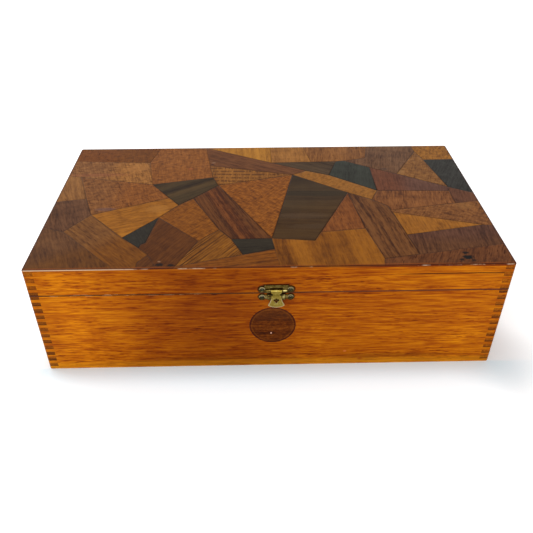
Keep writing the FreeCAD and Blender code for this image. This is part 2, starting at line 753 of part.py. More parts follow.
# Lower plate: ears, a raised middle for the tongue to rest on, and the hook.
lower_ear_z = rim - size["lower_nail_down"]
hook_low = bar_z - HOLE_WIDE[1] - size["hook_in_hole"]
boss_low = hook_low - size["boss_under"]
boss_high = rim - size["boss_gap"]
hook_high = hook_low + size["hook_thick"]
hook_tip = hook_low + size["hook_rise"]
lower_pieces = [
    block(
        "lower_middle",
        (catch_x - size["lower_half"], off_wood(size["plate_thick"]), lower_ear_z - size["lower_fall"]),
        (catch_x + size["lower_half"], off_wood(0), lower_ear_z + size["lower_rise"]),
    ),
]
for apart in both_sides(LOWER_NAILS):
    tag = "left" if apart[0] < 0 else "right"
    lower_pieces.append(ear("lower_ear_" + tag, catch_x + apart[0], lower_ear_z, size["ear_radius"]))
lower_flat = joined("lower_flat", lower_pieces)
lower_soft = eased("lower_soft", lower_flat, front_edges(off_wood(size["plate_thick"]), PLATE_ROUND))
boss = block(
    "lower_boss",
    (catch_x - size["boss_half"], off_wood(boss_out[0]), boss_low),
    (catch_x + size["boss_half"], off_wood(0), boss_high),
)
boss.setExpression("Width", boss_out[1])
doc.recompute()


BOSS_ROUND = 0.7
HOOK_ROUND = 0.25


def boss_edges(edge):
    """Every edge of the raised middle that is off the wood."""
    return BOSS_ROUND if edge.BoundBox.YMax < off_wood(0) - 0.01 else 0


boss_soft = eased("lower_boss_soft", boss, boss_edges)
TIP_THICK = 0.6
stem = block(
    "hook_stem",
    (catch_x - size["hook_half"], off_wood(hook_out), hook_low),
    (catch_x + size["hook_half"], off_wood(boss_out[0] - OVERLAP), hook_high),
)
tip = block(
    "hook_tip",
    (catch_x - size["hook_half"], off_wood(hook_out), hook_low),
    (catch_x + size["hook_half"], off_wood(hook_out - TIP_THICK), hook_tip),
)
doc.recompute()
hook = joined("hook", [stem, tip])


def hook_edges(edge):
    """The hook's outer corner and its top, rounded."""
    span = edge.BoundBox
    along = span.XLength > size["hook_half"]
    outer = abs(span.YMin - off_wood(hook_out)) < 0.001 and abs(span.YMax - off_wood(hook_out)) < 0.001
    return HOOK_ROUND if along and outer else 0


hook_soft = eased("hook_soft", hook, hook_edges)
lower_body = joined("lower_body", [lower_soft, boss_soft, hook_soft])
lower_seats = nail_seats("lower_nail", LOWER_NAILS, lower_ear_z)
node("catch_lower_plate", less("catch_lower_plate", lower_body, lower_seats))


NAIL_CROWN = 0.4


def nail(name, side_x, height):
    """A round-headed brass nail."""
    # The head's rim rests on the cone of its seat.
    hole = size["nail_radius"] + size["nail_play"]
    cone = (size["nail_head"] + size["nail_play"] - hole) / (size["nail_head"] + size["seat_wider"] - hole)
    under_head = size["plate_thick"] - size["seat_deep"] * (1 - cone)
    shank_start = Vector(side_x, off_wood(-size["nail_deep"]), height)
    shank = rod(name + "_shank", size["nail_radius"], shank_start, OUT, size["nail_deep"] + under_head)
    head_start = Vector(side_x, off_wood(under_head), height)
    head = rod(name + "_head", size["nail_head"], head_start, OUT, size["nail_thick"])
    doc.recompute()
    crown = off_wood(under_head + size["nail_thick"])
    soft = eased(name + "_crown", head, front_edges(crown, NAIL_CROWN))
    return joined(name, [shank, soft])


upper_nails = []
for apart in both_sides(UPPER_NAILS):
    tag = "left" if apart[0] < 0 else "right"
    upper_nails.append(nail("upper_nail_" + tag, catch_x + apart[0], upper_ear_z))
node("catch_upper_nails", together("catch_upper_nails", upper_nails))
lower_nails = []
for apart in both_sides(LOWER_NAILS):
    tag = "left" if apart[0] < 0 else "right"
    lower_nails.append(nail("lower_nail_" + tag, catch_x + apart[0], lower_ear_z))
node("catch_lower_nails", together("catch_lower_nails", lower_nails))

# Tongue: a bell-shaped strip with a keyhole, rolled round the bar at its top.
tongue = doc.addObject("PartDesign::Body", "tongue_body")
strip_plane = (half_depth + strip_out[0], "sizes.box_depth / 2 + " + strip_out[1])
strip = sketch_on(tongue, "tongue_strip", "XZ_Plane", strip_plane)


def arc(sketch, first, middle, last):
    """An arc through three points given from the catch's centre line and the bar."""
    points = []
    for across, down in (first, middle, last):
        points.append(Vector(catch_x + across, bar_z - down, 0))
    sketch.addGeometry(Part.Arc(points[0], points[1], points[2]), False)


def straight(sketch, first, last):
    """A line between two points given from the catch's centre line and the bar."""
    start = Vector(catch_x + first[0], bar_z - first[1], 0)
    end = Vector(catch_x + last[0], bar_z - last[1], 0)
    sketch.addGeometry(Part.LineSegment(start, end), False)


def mirrored(point):
    """The same point on the other side of the catch's centre line."""
    return (-point[0], point[1])


top_corner = (size["tongue_half"], 0.0)
roll_corner = (size["tongue_half"], ROLL_END)
straight(strip, mirrored(top_corner), top_corner)
for same in (tuple, mirrored):
    straight(strip, same(top_corner), same(roll_corner))
    straight(strip, same(roll_corner), same(NECK_TOP))
    arc(strip, same(NECK_TOP), same(NECK), same(SHOULDER))
    arc(strip, same(SHOULDER), same(FLARE), same(BELL))
    arc(strip, same(BELL), same(BELL_TURN), same(BELL_END))
    straight(strip, same(HOLE_WIDE), same(HOLE_NARROW))
arc(strip, BELL_END, BELL_LOW, mirrored(BELL_END))
arc(strip, mirrored(HOLE_WIDE), HOLE_TOP, HOLE_WIDE)
arc(strip, HOLE_NARROW, HOLE_LOW, mirrored(HOLE_NARROW))
pad(tongue, "tongue_plate", strip, (size["tongue_thick"], "sizes.tongue_thick"), False)

roll = sketch_on(tongue, "tongue_roll_sketch", "YZ_Plane", (catch_x, "sizes.catch_side"))
roll_y = (bar_y, "-sizes.box_depth / 2 - (" + bar_out[1] + ")")
roll_z = (bar_z, RIM + " + sizes.bar_up")
circle(roll, roll_y, roll_z, roll_outer)
circle(roll, roll_y, roll_z, roll_inner)
rolled = tongue.newObject("PartDesign::Pad", "tongue_roll")
rolled.Profile = roll
rolled.Length = 2 * size["tongue_half"]
rolled.setExpression("Length", "2 * sizes.tongue_half")
rolled.SideType = "Symmetric"
doc.recompute()
tongue.Tip = rolled
node("catch_tongue", tongue)


# ------------------------------------------------------------------ the lid's veneers

# Where the joints between veneers meet, from the front left corner of a lid of this length and depth.
DRAWN = (360.0, 200.0)
MEET = {
    "back_0": (0, 200), "back_1": (78.5, 200), "back_2": (122, 200), "back_3": (185.5, 200),
    "back_4": (217.5, 200), "back_5": (280.5, 200), "back_6": (325, 200), "back_7": (360, 200),
    "left_1": (0, 173), "left_2": (0, 144), "left_3": (0, 97), "left_4": (0, 57.5),
    "right_1": (360, 169.5), "right_2": (360, 104), "right_3": (360, 91), "right_4": (360, 51.5),
    "right_5": (360, 26), "front_0": (0, 0), "front_1": (66, 0), "front_2": (81.5, 0),
    "front_3": (97, 0), "front_4": (109, 0), "front_5": (187, 0), "front_6": (262.5, 0),
    "front_7": (360, 0), "west_1": (71, 168.5), "west_2": (78.5, 126), "west_3": (12.5, 141),
    "west_4": (25, 102), "west_5": (34.5, 75.5), "west_6": (18, 50.5), "mid_1": (131.5, 138),
    "mid_2": (137, 123), "mid_3": (116.5, 100.5), "mid_4": (105, 89.5), "mid_5": (96, 101.9),
    "mid_6": (90.5, 70), "mid_7": (65.5, 41), "mid_8": (80.5, 26.5), "mid_9": (88.5, 17.5),
    "mid_10": (82, 8), "mid_11": (125, 35), "mid_12": (110, 2.5), "mid_13": (140.5, 51),
    "mid_14": (150.5, 37), "mid_15": (159.5, 16), "mid_16": (183.5, 23), "mid_17": (181.8, 37.5),
    "step_1": (84.6, 33.4), "step_2": (81.4, 31.4), "east_1": (128, 161), "east_2": (185.5, 166),
    "east_3": (223, 167), "east_4": (247, 167.5), "east_5": (254, 168.5), "east_6": (275.5, 174),
    "east_7": (276.5, 154.5), "east_8": (276.3, 110.5), "east_9": (237, 140), "east_10": (217, 149),
    "east_11": (204, 141.5), "east_12": (250, 107.5), "east_13": (269, 95), "east_14": (299.5, 141),
    "east_15": (326, 187), "east_16": (330.5, 169), "east_17": (340, 115.5), "east_18": (339.2, 108.8),
    "east_19": (339, 87.5), "east_20": (282, 77), "east_21": (281, 84), "east_22": (282.7, 74),
    "east_23": (352, 53), "east_24": (287.7, 40), "east_25": (291.7, 13.5), "east_26": (264.5, 8.5),
    "east_27": (256.5, 50), "east_28": (220.7, 45.5), "east_29": (215, 33.5),
}

# Each veneer: the wood it is cut from, its own name, and the joints round it.
VENEERS = (
    ("mahogany", "back_left", "back_0 back_1 west_1 left_1"),
    ("oak", "left_tan", "left_1 west_1 west_2 west_3 left_2"),
    ("cherry", "back_red", "back_1 back_2 east_1 mid_1 west_2 west_1"),
    ("satinwood", "back_wedge", "back_2 back_3 east_2"),
    ("maple", "back_pale", "back_3 back_4 east_3 east_2"),
    ("cherry", "back_centre", "back_4 back_5 east_6 east_5 east_4 east_3"),
    ("walnut", "back_brown", "back_5 back_6 east_15 east_14 east_7 east_5 east_6"),
    ("satinwood", "back_right", "back_6 back_7 right_1 east_16 east_15"),
    ("ebony", "right_black", "east_16 right_1 right_2 east_17"),
    ("maple", "right_wedge", "east_15 east_16 east_17 east_14"),
    ("mahogany", "long_strip", "back_2 east_2 east_10 east_11 east_1"),
    ("macassar", "streaked", "east_2 east_3 east_4 east_9 east_10"),
    ("ebony", "back_black", "east_4 east_5 east_7 east_8 east_9"),
    ("satinwood", "bright_strip", "east_10 east_9 east_8 east_13 east_12 east_11"),
    ("macassar", "centre_black", "east_11 east_12 east_28 east_29 mid_17"),
    ("mahogany", "right_red", "east_7 east_14 east_17 east_18 east_8"),
    ("teak", "right_tan", "east_8 east_18 east_19 east_20 east_21 east_13"),
    ("rosewood", "right_edge", "east_17 right_2 right_3 east_19 east_18"),
    ("oak", "right_long", "east_20 east_19 right_3 right_4 east_23 east_22"),
    ("satinwood", "right_bright", "east_22 east_23 east_24"),
    ("rosewood", "right_purple", "east_24 east_23 right_4 right_5 east_25"),
    ("mahogany", "front_right", "east_26 east_25 right_5 front_7 front_6"),
    ("walnut", "upright_strip", "east_12 east_13 east_21 east_20 east_22 east_24 east_25 east_26 east_27"),
    ("cherry", "red_wedge", "east_12 east_27 east_28"),
    ("satinwood", "front_bright", "mid_17 east_29 east_28 east_27 east_26 front_6 front_5 mid_16"),
    ("oak", "front_centre", "mid_16 front_5 front_4 mid_12 mid_15"),
    ("ebony", "small_black", "mid_14 mid_17 mid_16 mid_15"),
    ("rosewood", "slanted_strip", "mid_3 mid_2 mid_17 mid_14 mid_13"),
    ("oak", "lined", "east_1 east_11 mid_2 mid_1"),
    ("cherry", "figured", "mid_2 east_11 mid_17"),
    ("macassar", "west_black", "west_2 mid_1 mid_2 mid_3 mid_4 mid_5"),
    ("teak", "west_brown", "west_3 west_2 mid_5 west_5 west_4"),
    ("maple", "left_pale", "left_2 west_3 west_4 left_3"),
    ("mahogany", "left_purple", "left_3 west_4 west_5 west_6 left_4"),
    ("satinwood", "left_bright", "west_5 mid_5 mid_4 mid_6 mid_7"),
    ("ebony", "left_black", "mid_6 step_1 step_2 mid_8 mid_7"),
    ("oak", "middle_tan", "mid_4 mid_3 mid_13 mid_11 mid_6"),
    ("zebrano", "striped", "mid_11 mid_13 mid_14 mid_15 mid_12"),
    ("walnut", "diamond", "mid_6 mid_11 mid_12 front_4 front_3 mid_9 mid_8 step_2 step_1"),
    ("rosewood", "small_grey", "mid_9 front_3 front_2 mid_10"),
    ("oak", "front_long", "west_5 mid_7 mid_8 mid_9 mid_10 front_2 front_1 west_6"),
    ("walnut", "front_left", "left_4 west_6 front_1 front_0"),
)

stretch_x = size["box_length"] / DRAWN[0]
stretch_y = size["box_depth"] / DRAWN[1]
woods = {}
for wood, own_name, joints in VENEERS:
    outline = doc.addObject("Sketcher::SketchObject", "outline_" + own_name)
    outline.Placement.Base = Vector(-half_length, -half_depth, lid_rim)
    corners = []
    for joint in joints.split():
        across, back = MEET[joint]
        corners.append(Vector(across * stretch_x, back * stretch_y, 0))
    count = len(corners)
    for step in range(count):
        outline.addGeometry(Part.LineSegment(corners[step], corners[(step + 1) % count]), False)
    for step in range(count):
        outline.addConstraint(Sketcher.Constraint("Coincident", step, 2, (step + 1) % count, 1))
    slip = doc.addObject("Part::Extrusion", "slip_" + own_name)
    slip.Base = outline
    slip.DirMode = "Custom"
    slip.Dir = Vector(0, 0, 1)
    slip.Solid = True
    slip.LengthFwd = size["veneer"]
    slip.setExpression("LengthFwd", "sizes.veneer")
    woods.setdefault(wood, []).append(slip)
doc.recompute()
for wood in sorted(woods):
    laid = together("laid_" + wood, woods[wood])
    node("veneer_" + wood, within("veneer_" + wood, laid, lid_outside))


# ------------------------------------------------------------------ check and write

doc.recompute()
for item in doc.Objects:
    for state in item.State:
        if state in ("Invalid", "Error"):
            raise RuntimeError(item.Name + " is " + state)
for name, item in NODES:
    shape = item.Shape
    if shape.isNull() or not shape.isValid() or not shape.Solids:
        raise RuntimeError(name + " has no sound solid")
    shape.exportStep("parts/" + name + ".step")
    print(name, len(shape.Solids), round(shape.Volume, 1))
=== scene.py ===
import math

import bmesh
import bpy
from mathutils import Matrix, Vector


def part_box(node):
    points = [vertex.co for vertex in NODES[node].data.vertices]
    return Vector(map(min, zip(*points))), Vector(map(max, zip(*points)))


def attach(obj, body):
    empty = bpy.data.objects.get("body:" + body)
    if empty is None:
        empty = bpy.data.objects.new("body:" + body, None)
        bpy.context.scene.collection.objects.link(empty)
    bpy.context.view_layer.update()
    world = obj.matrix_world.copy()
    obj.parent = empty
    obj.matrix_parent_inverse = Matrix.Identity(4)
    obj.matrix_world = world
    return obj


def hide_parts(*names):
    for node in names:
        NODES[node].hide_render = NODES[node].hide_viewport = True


# A hinged box of finger-jointed boards with a lid of mixed veneers and a small brass catch.
# Lengths are metres in the frame's own axes: X to the right, -Y towards the catch, Z up.

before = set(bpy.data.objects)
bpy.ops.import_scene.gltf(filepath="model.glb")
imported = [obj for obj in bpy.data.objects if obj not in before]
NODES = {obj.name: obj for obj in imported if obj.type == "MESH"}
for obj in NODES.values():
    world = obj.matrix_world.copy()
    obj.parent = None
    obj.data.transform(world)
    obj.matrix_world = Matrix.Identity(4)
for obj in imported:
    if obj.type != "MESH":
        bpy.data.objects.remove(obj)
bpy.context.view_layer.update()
MM = 0.001

HALF_X = -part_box("case_left")[0].x
HALF_Y = -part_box("case_front")[0].y
CASE_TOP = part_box("case_front")[1].z
LID_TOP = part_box("veneer_cherry")[1].z
BOARD = 7.5 * MM
FINGER = 3.175 * MM
CATCH_X = 4 * MM


# ---------------- colours

def linear(channel):
    """One sRGB channel, 0 to 255, as linear light."""
    share = channel / 255
    return share / 12.92 if share <= 0.04045 else ((share + 0.055) / 1.055) ** 2.4


def tint(red, green, blue):
    """An sRGB colour as a node colour."""
    return (linear(red), linear(green), linear(blue), 1.0)


FRONT_SHEEN, BACK_SHEEN = 0.008, 0.03
DARKEST = 0.003


def under_sheen(colour, y):
    """The wood's own colour, which the lid's sheen, stronger towards the back, brings to the one given."""
    sheen = FRONT_SHEEN + (BACK_SHEEN - FRONT_SHEEN) * (y + HALF_Y) / (2 * HALF_Y)
    return tuple(max(DARKEST, linear(channel) - sheen) for channel in colour) + (1.0,)


def scaled(colour, red, green, blue):
    """A node colour with its channels multiplied."""
    return (min(1, colour[0] * red), min(1, colour[1] * green), min(1, colour[2] * blue), 1.0)


# ---------------- node graphs

class Graph:
    """Builds one node material, a node at a time. Inputs are sockets or plain values."""

    def __init__(self, name):
        self.material = bpy.data.materials.new(name)
        self.material.use_nodes = True
        self.tree = self.material.node_tree
        self.tree.nodes.clear()
        self.place = self.add("ShaderNodeTexCoord").outputs["Object"]
        self.facing = self.add("ShaderNodeTexCoord").outputs["Normal"]

    def add(self, kind, inputs=None, **settings):
        node = self.tree.nodes.new(kind)
        for key, value in settings.items():
            setattr(node, key, value)
        for key, value in (inputs or {}).items():
            if isinstance(value, bpy.types.NodeSocket):
                self.tree.links.new(value, node.inputs[key])
            else:
                node.inputs[key].default_value = value
        return node

    def maths(self, operation, first, second=0.0):
        return self.add("ShaderNodeMath", {0: first, 1: second}, operation=operation).outputs[0]

    def plus(self, *values):
        total = values[0]
        for value in values[1:]:
            total = self.maths("ADD", total, value)
        return total

    def times(self, *values):
        total = values[0]
        for value in values[1:]:
            total = self.maths("MULTIPLY", total, value)
        return total

    def flipped(self, value):
        return self.maths("SUBTRACT", 1.0, value)

    def size_of(self, value):
        return self.maths("ABSOLUTE", value)

    def rise(self, value, low, high):
        """0 below low, 1 above high, smooth between; falls instead where low is above high."""
        if low > high:
            return self.flipped(self.rise(value, high, low))
        node = self.add("ShaderNodeMapRange", {"Value": value, "From Min": low, "From Max": high})
        node.interpolation_type = "SMOOTHSTEP"
        return node.outputs["Result"]

    def distance(self, first, second):
        """How far apart two points are, from their offsets along two axes."""
        return self.maths("SQRT", self.plus(self.times(first, first), self.times(second, second)))

    def axes(self, vector):
        node = self.add("ShaderNodeSeparateXYZ", {0: vector})
        return node.outputs[0], node.outputs[1], node.outputs[2]

    def joined(self, x, y, z):
        return self.add("ShaderNodeCombineXYZ", {0: x, 1: y, 2: z}).outputs[0]

    def moved(self, vector, shift=(0, 0, 0), turn=0.0, scale=(1, 1, 1)):
        """A vector shifted, then turned about Z by turn degrees, then scaled."""
        shifted = self.add("ShaderNodeVectorMath", {0: vector, 1: shift}, operation="ADD").outputs[0]
        turned = self.add("ShaderNodeMapping", {"Vector": shifted, "Rotation": (0, 0, math.radians(turn))})
        return self.stretched(turned.outputs[0], scale)

    def stretched(self, vector, scale):
        return self.add("ShaderNodeVectorMath", {0: vector, 1: scale}, operation="MULTIPLY").outputs[0]

    def noise(self, vector, scale, detail=2.0, rough=0.5, warp=0.0):
        """Noise from 0 to 1; scale is one number or one for each axis, in features a metre."""
        if not isinstance(scale, (int, float)):
            vector, scale = self.stretched(vector, scale), 1.0
        return self.add("ShaderNodeTexNoise", {
            "Vector": vector, "Scale": scale, "Detail": detail, "Roughness": rough, "Distortion": warp,
        }).outputs["Fac"]

    def ramp(self, value, stops, smooth=False):
        """A colour for each value; stops are (place, colour)."""
        node = self.add("ShaderNodeValToRGB", {"Fac": value})
        ramp = node.color_ramp
        ramp.interpolation = "EASE" if smooth else "LINEAR"
        while len(ramp.elements) < len(stops):
            ramp.elements.new(1.0)
        for element, (place, colour) in zip(ramp.elements, stops):
            element.position = place
            element.color = colour
        return node.outputs["Color"]

    def mixed(self, share, first, second, way="MIX"):
        node = self.add("ShaderNodeMix", data_type="RGBA", blend_type=way, clamp_factor=True)
        for index, value in ((0, share), (6, first), (7, second)):
            if isinstance(value, bpy.types.NodeSocket):
                self.tree.links.new(value, node.inputs[index])
            else:
                node.inputs[index].default_value = value
        return node.outputs[2]

    def attribute(self, name):
        return self.add("ShaderNodeAttribute", attribute_name=name, attribute_type="GEOMETRY").outputs["Fac"]

    def bump(self, height, distance, strength=1.0):
        return self.add("ShaderNodeBump", {
            "Height": height, "Distance": distance, "Strength": strength}).outputs["Normal"]

    def finish(self, colour, rough, normal, plain):
        """The surface; plain holds what is the same all over, set on the sockets themselves."""
        inputs = dict(plain, **{"Base Color": colour, "Roughness": rough, "Normal": normal})
        self.show(self.add("ShaderNodeBsdfPrincipled", inputs).outputs[0])
        return self.material

    def show(self, shader):
        self.add("ShaderNodeOutputMaterial", {0: shader})


VARNISH = {"Specular IOR Level": 0.04, "Coat Weight": 0.025, "Coat Roughness": 0.12, "Coat IOR": 1.45}
SATIN = {"Specular IOR Level": 0.05, "Coat Weight": 0.016, "Coat Roughness": 0.22, "Coat IOR": 1.45}
DRY_WOOD = {"Specular IOR Level": 0.16}


# ---------------- wood

# How strongly each kind of wood shows its features: broad bands, streaks, fine fibres, cloudy mottle and dark
# pores; and their size in features a metre, across the grain or, for run, along a streak.
PLAIN = dict(bands=0.4, streaks=0.9, fibres=1.0, mottle=0.4, pores=0.3, band_size=60, mottle_size=90, run=22,
             fibre_run=110)
FIGURES = {
    "board": dict(PLAIN, bands=0.16, streaks=0.26, fibres=0.98, mottle=0.18, pores=0.3, band_size=50,
                  mottle_size=25, run=14, fibre_run=38),
    "plain": PLAIN,
    "smooth": dict(PLAIN, bands=0.3, streaks=0.5, fibres=0.8, mottle=0.5, pores=0.1, run=14),
    "mottled": dict(PLAIN, bands=0.2, streaks=0.5, fibres=0.9, mottle=1.1, mottle_size=380, run=60),
    "curly": dict(PLAIN, bands=0.2, streaks=0.4, fibres=0.8, mottle=1.35, pores=0.25, mottle_size=420,
                  run=50),
    "banded": dict(PLAIN, bands=1.3, streaks=0.5, fibres=0.7, mottle=0.5, pores=0.12, band_size=75),
    "flecked": dict(PLAIN, fibres=1.0, mottle=0.6, pores=0.75, run=60),
    "lines": dict(PLAIN, bands=0.9, streaks=1.1, fibres=1.0, mottle=0.4, pores=0.4, band_size=130, run=12),
    "black": dict(PLAIN, bands=0.5, streaks=0.7, fibres=0.9, mottle=0.5, pores=0.15),
    "macassar": dict(PLAIN, bands=1.3, streaks=0.8, fibres=0.7, mottle=0.4, pores=0.15, band_size=85, run=9),
}
PORE_LENGTH = 120
PORE_WIDTH = 1100


def grain(g, along, figure, contrast):
    """The wood's tone about 0.5, and a height for its pores and fibres; along has X down the grain."""
    sway = g.noise(along, (9, 9, 9), 1)
    x, y, z = g.axes(along)
    along = g.joined(x, g.plus(y, g.times(g.plus(sway, -0.5), 10 * MM)), z)
    size = figure["band_size"]
    bands = g.noise(along, (2.5, size, size), 2, 0.45)
    streaks = g.noise(along, (figure["run"], 330, 330), 3, 0.6)
    fibres = g.noise(along, (figure["fibre_run"], 620, 620), 3, 0.65)
    cloud = figure["mottle_size"]
    mottle = g.noise(along, (cloud, cloud * 0.45, cloud * 0.45), 3, 0.55, 0.6)
    pores = g.rise(g.noise(along, (PORE_LENGTH, PORE_WIDTH, PORE_WIDTH), 1), 0.6, 0.72)
    clusters = g.rise(g.noise(along, (14, 90, 90), 1), 0.35, 0.65)
    pores = g.times(pores, clusters)
    tone = 0.5
    for part, layer in (("bands", bands), ("streaks", streaks), ("fibres", fibres), ("mottle", mottle)):
        tone = g.plus(tone, g.times(g.plus(layer, -0.5), figure[part] * contrast))
    tone = g.plus(tone, g.times(pores, -figure["pores"] * contrast))
    height = g.plus(g.times(fibres, 0.5), g.times(streaks, 0.3), g.times(pores, -1.0))
    return tone, height, pores


def shades(g, tone, middle):
    """A wood's colours from its darkest streak to its lightest, about the middle one."""
    dark = scaled(middle, 0.42, 0.36, 0.34)
    light = scaled(middle, 1.5, 1.62, 1.65)
    return g.ramp(tone, ((0.0, dark), (0.5, middle), (1.0, light)))


# The catch plates' outlines on the front, in mm: X and Z of the middle and half sizes, and round ears.
PLATE_BOXES = (((4, 79.9), (9.0, 3.5)), ((4, 72.8), (6.6, 2.6)))
PLATE_EARS = ((-6.6, 79.6), (14.6, 79.6), (-6.7, 72.3), (14.7, 72.3))
EAR_RADIUS = 2.75
SPLIT_Z = 91.9


def catch_shadow_and_grime(g, x, z):
    """Painted shadow and dark old polish on the wood close round the catch plates, thickest above them."""
    near = 1.0
    for (mid_x, mid_z), (half_x, half_z) in PLATE_BOXES:
        beside = g.plus(g.size_of(g.plus(x, -mid_x * MM)), -half_x * MM)
        over = g.plus(g.size_of(g.plus(z, -mid_z * MM)), -half_z * MM)
        near = g.maths("MINIMUM", near, g.maths("MAXIMUM", beside, over))
    for ear_x, ear_z in PLATE_EARS:
        away = g.distance(g.plus(x, -ear_x * MM), g.plus(z, -ear_z * MM))
        near = g.maths("MINIMUM", near, g.plus(away, -EAR_RADIUS * MM))
    above = g.rise(z, 70 * MM, 80 * MM)
    reach = g.plus(0.5 * MM, g.times(above, 0.8 * MM))
    ragged = g.times(g.plus(g.noise(g.place, 420, 3, 0.6), -0.5), 1.1 * MM)
    return g.rise(g.maths("DIVIDE", g.plus(near, ragged), reach), 1.1, 0.3)


def spotted(g, colour, across, up, size, ragged, edge, shade, strength):
    """The colour with an oval mark over it. Across and up run from its middle, size is its half sizes in mm,
    and edge says at how many of them it has gone and is full."""
    wide, tall = size
    away = g.distance(g.times(across, 1 / (wide * MM)), g.times(up, 1 / (tall * MM)))
    return g.mixed(g.times(g.rise(g.plus(away, ragged), *edge), strength), colour, tint(*shade))


# Marks on the front: place in mm in X and Z, half sizes, colour and strength.
FRONT_MARKS = (
    ((-42, 75.6), (3.0, 1.1), (50, 14, 6), 0.85),
    ((60, 14.5), (1.6, 1.0), (222, 128, 70), 0.55),
    ((80, 6), (7.0, 3.0), (140, 78, 12), 0.45),
    ((-97, 47), (16, 0.8), (120, 44, 3), 0.45),
    ((-60, 17), (60, 0.9), (116, 48, 4), 0.35),
    ((-95, 37), (40, 0.7), (124, 46, 3), 0.35),
    ((95, 9), (60, 2.6), (112, 56, 6), 0.45),
    ((-50, 9), (55, 2.0), (104, 48, 4), 0.35),
    ((73, 5.5), (2.6, 1.5), (128, 50, 16), 0.55),
)


def front_marks(g, colour, x, z):
    """What only the front shows: painted shadow and grime round the catch, a split, a dent in the seam, and
    darker streaks.
    """
    wave = g.times(g.plus(g.noise(g.place, (34, 1, 1), 3), -0.5), 1.6 * MM)
    off = g.size_of(g.plus(z, -SPLIT_Z * MM, wave))
    split = g.times(g.rise(off, 0.75 * MM, 0.25 * MM), g.rise(x, 0.08, 0.12),
                    g.rise(g.noise(g.place, (90, 1, 60), 3), 0.26, 0.46))
    colour = g.mixed(g.times(split, 0.88), colour, tint(62, 20, 8))
    # Painted shadow and old polish round the catch plates.
    colour = g.mixed(g.times(catch_shadow_and_grime(g, x, z), 0.88), colour, tint(40, 10, 3))
    ragged = g.times(g.plus(g.noise(g.place, (200, 1, 700), 2), -0.5), 1.2)
    for (mark_x, mark_z), size, shade, strength in FRONT_MARKS:
        across, up = g.plus(x, -mark_x * MM), g.plus(z, -mark_z * MM, wave)
        colour = spotted(g, colour, across, up, size, ragged, (1.2, 0.5), shade, strength)
    return colour


def near_sides(g, out_x, out_y, start, full):
    """For X and for Y, 0 further inside the box's side than start, and 1 nearer to it than full."""
    return [g.rise(out, half - start, half - full) for out, half in ((out_x, HALF_X), (out_y, HALF_Y))]


def board_tone(g, along, ring, run, to_ends, seed):
    """A board's tone and height: grain, long streaks, dashes crowded at the ends, and rings seen on edge."""
    tone, height, _ = grain(g, along, FIGURES["board"], 1.0)
    long_streaks = g.rise(g.noise(along, (5, 330, 330), 2, 0.5), 0.58, 0.7)
    dashes = g.rise(g.noise(along, (80, 900, 900), 2, 0.6), 0.53, 0.66)
    dashes = g.times(dashes, g.rise(g.noise(along, (7, 40, 40), 2), 0.36, 0.64))
    crowd = g.plus(0.25, g.times(g.rise(to_ends, 0.05, 0.14), 0.85))
    tone = g.plus(tone, g.times(long_streaks, -0.09), g.times(dashes, crowd, -0.32), 0.03)
    rings = g.noise(g.joined(g.times(ring, 260), g.times(run, 2.0), seed), 1.0, 3, 0.55)
    return g.plus(tone, g.times(g.plus(rings, -0.5), 0.15)), height


def varnished(g, tone, run, z, tones):
    """Amber varnish over a tone, brighter and darker along the board (on the front partly painted shade),
    with a yellower band at the foot that is painted light thrown up from the floor.
    """
    colour = g.ramp(tone, ((0.05, tint(106, 40, 3)), (0.34, tint(160, 74, 4)), (0.5, tint(192, 104, 6)),
                           (0.68, tint(222, 134, 10)), (0.95, tint(242, 168, 28))))
    place = g.plus(g.times(run, 1 / (2 * HALF_X)), 0.5)
    stops = [(at, (level, level ** 1.35, level ** 1.35, 1)) for at, level in tones]
    colour = g.mixed(1.0, colour, g.ramp(place, stops, True), "MULTIPLY")
    # Painted light from the floor: a yellower band along the foot.
    low_band = g.times(g.rise(z, 9 * MM, 4 * MM), g.noise(g.place, (12, 12, 90), 2))
    return g.mixed(g.times(low_band, 0.62), colour, tint(220, 148, 24))


def end_grain(g, colour, x, y, z, ring, end, seed):
    """Rings and open pores on the fingers' ends, which drink the varnish, each finger to its own degree."""
    dots = g.rise(g.noise(g.place, 1500, 1), 0.48, 0.62)
    arcs = g.noise(g.joined(g.times(ring, 900), 0.0, seed), 1.0, 2)
    row = g.times(z, 1 / FINGER)
    in_row = g.maths("FRACT", row)
    foot_dark = g.rise(in_row, 0.5, 0.05)
    end_tone = g.plus(g.times(arcs, 0.8), g.times(dots, -0.2), g.times(foot_dark, -0.28), 0.16)
    end_colour = g.ramp(end_tone, ((0.1, tint(58, 26, 6)), (0.5, tint(112, 58, 10)),
                                   (0.9, tint(164, 92, 18))))
    drunk = g.noise(g.joined(g.maths("FLOOR", row), g.times(x, 9), g.times(y, 9)), 0.83, 0)
    upper = g.rise(z, 76 * MM, 84 * MM)
    fainter = g.times(g.rise(x, 0.0, 0.1), g.rise(in_row, 0.3, 0.7), 0.45)
    share = g.plus(0.72, g.times(g.rise(drunk, 0.3, 0.7), 0.28), g.times(upper, -0.25))
    return g.mixed(g.times(end, share, g.flipped(fainter)), colour, end_colour), in_row


def joint_lines(g, out_x, out_y, in_row, end, turn):
    """1 in the glue lines round every finger of the corner joints."""
    to_row = g.times(g.maths("MINIMUM", in_row, g.flipped(in_row)), FINGER)
    in_corner = g.maths("MINIMUM", *near_sides(g, out_x, out_y, BOARD + 0.2 * MM, BOARD))
    row_line = g.times(in_corner, g.rise(to_row, 0.28 * MM, 0.05 * MM))
    side, half = (out_y, HALF_Y) if turn == 0 else (out_x, HALF_X)
    end_line = g.times(end, g.rise(g.size_of(g.plus(side, BOARD - half)), 0.3 * MM, 0.05 * MM))
    patchy = g.rise(g.noise(g.place, 260, 2), 0.25, 0.6)
    return g.times(g.maths("MAXIMUM", row_line, end_line), patchy)


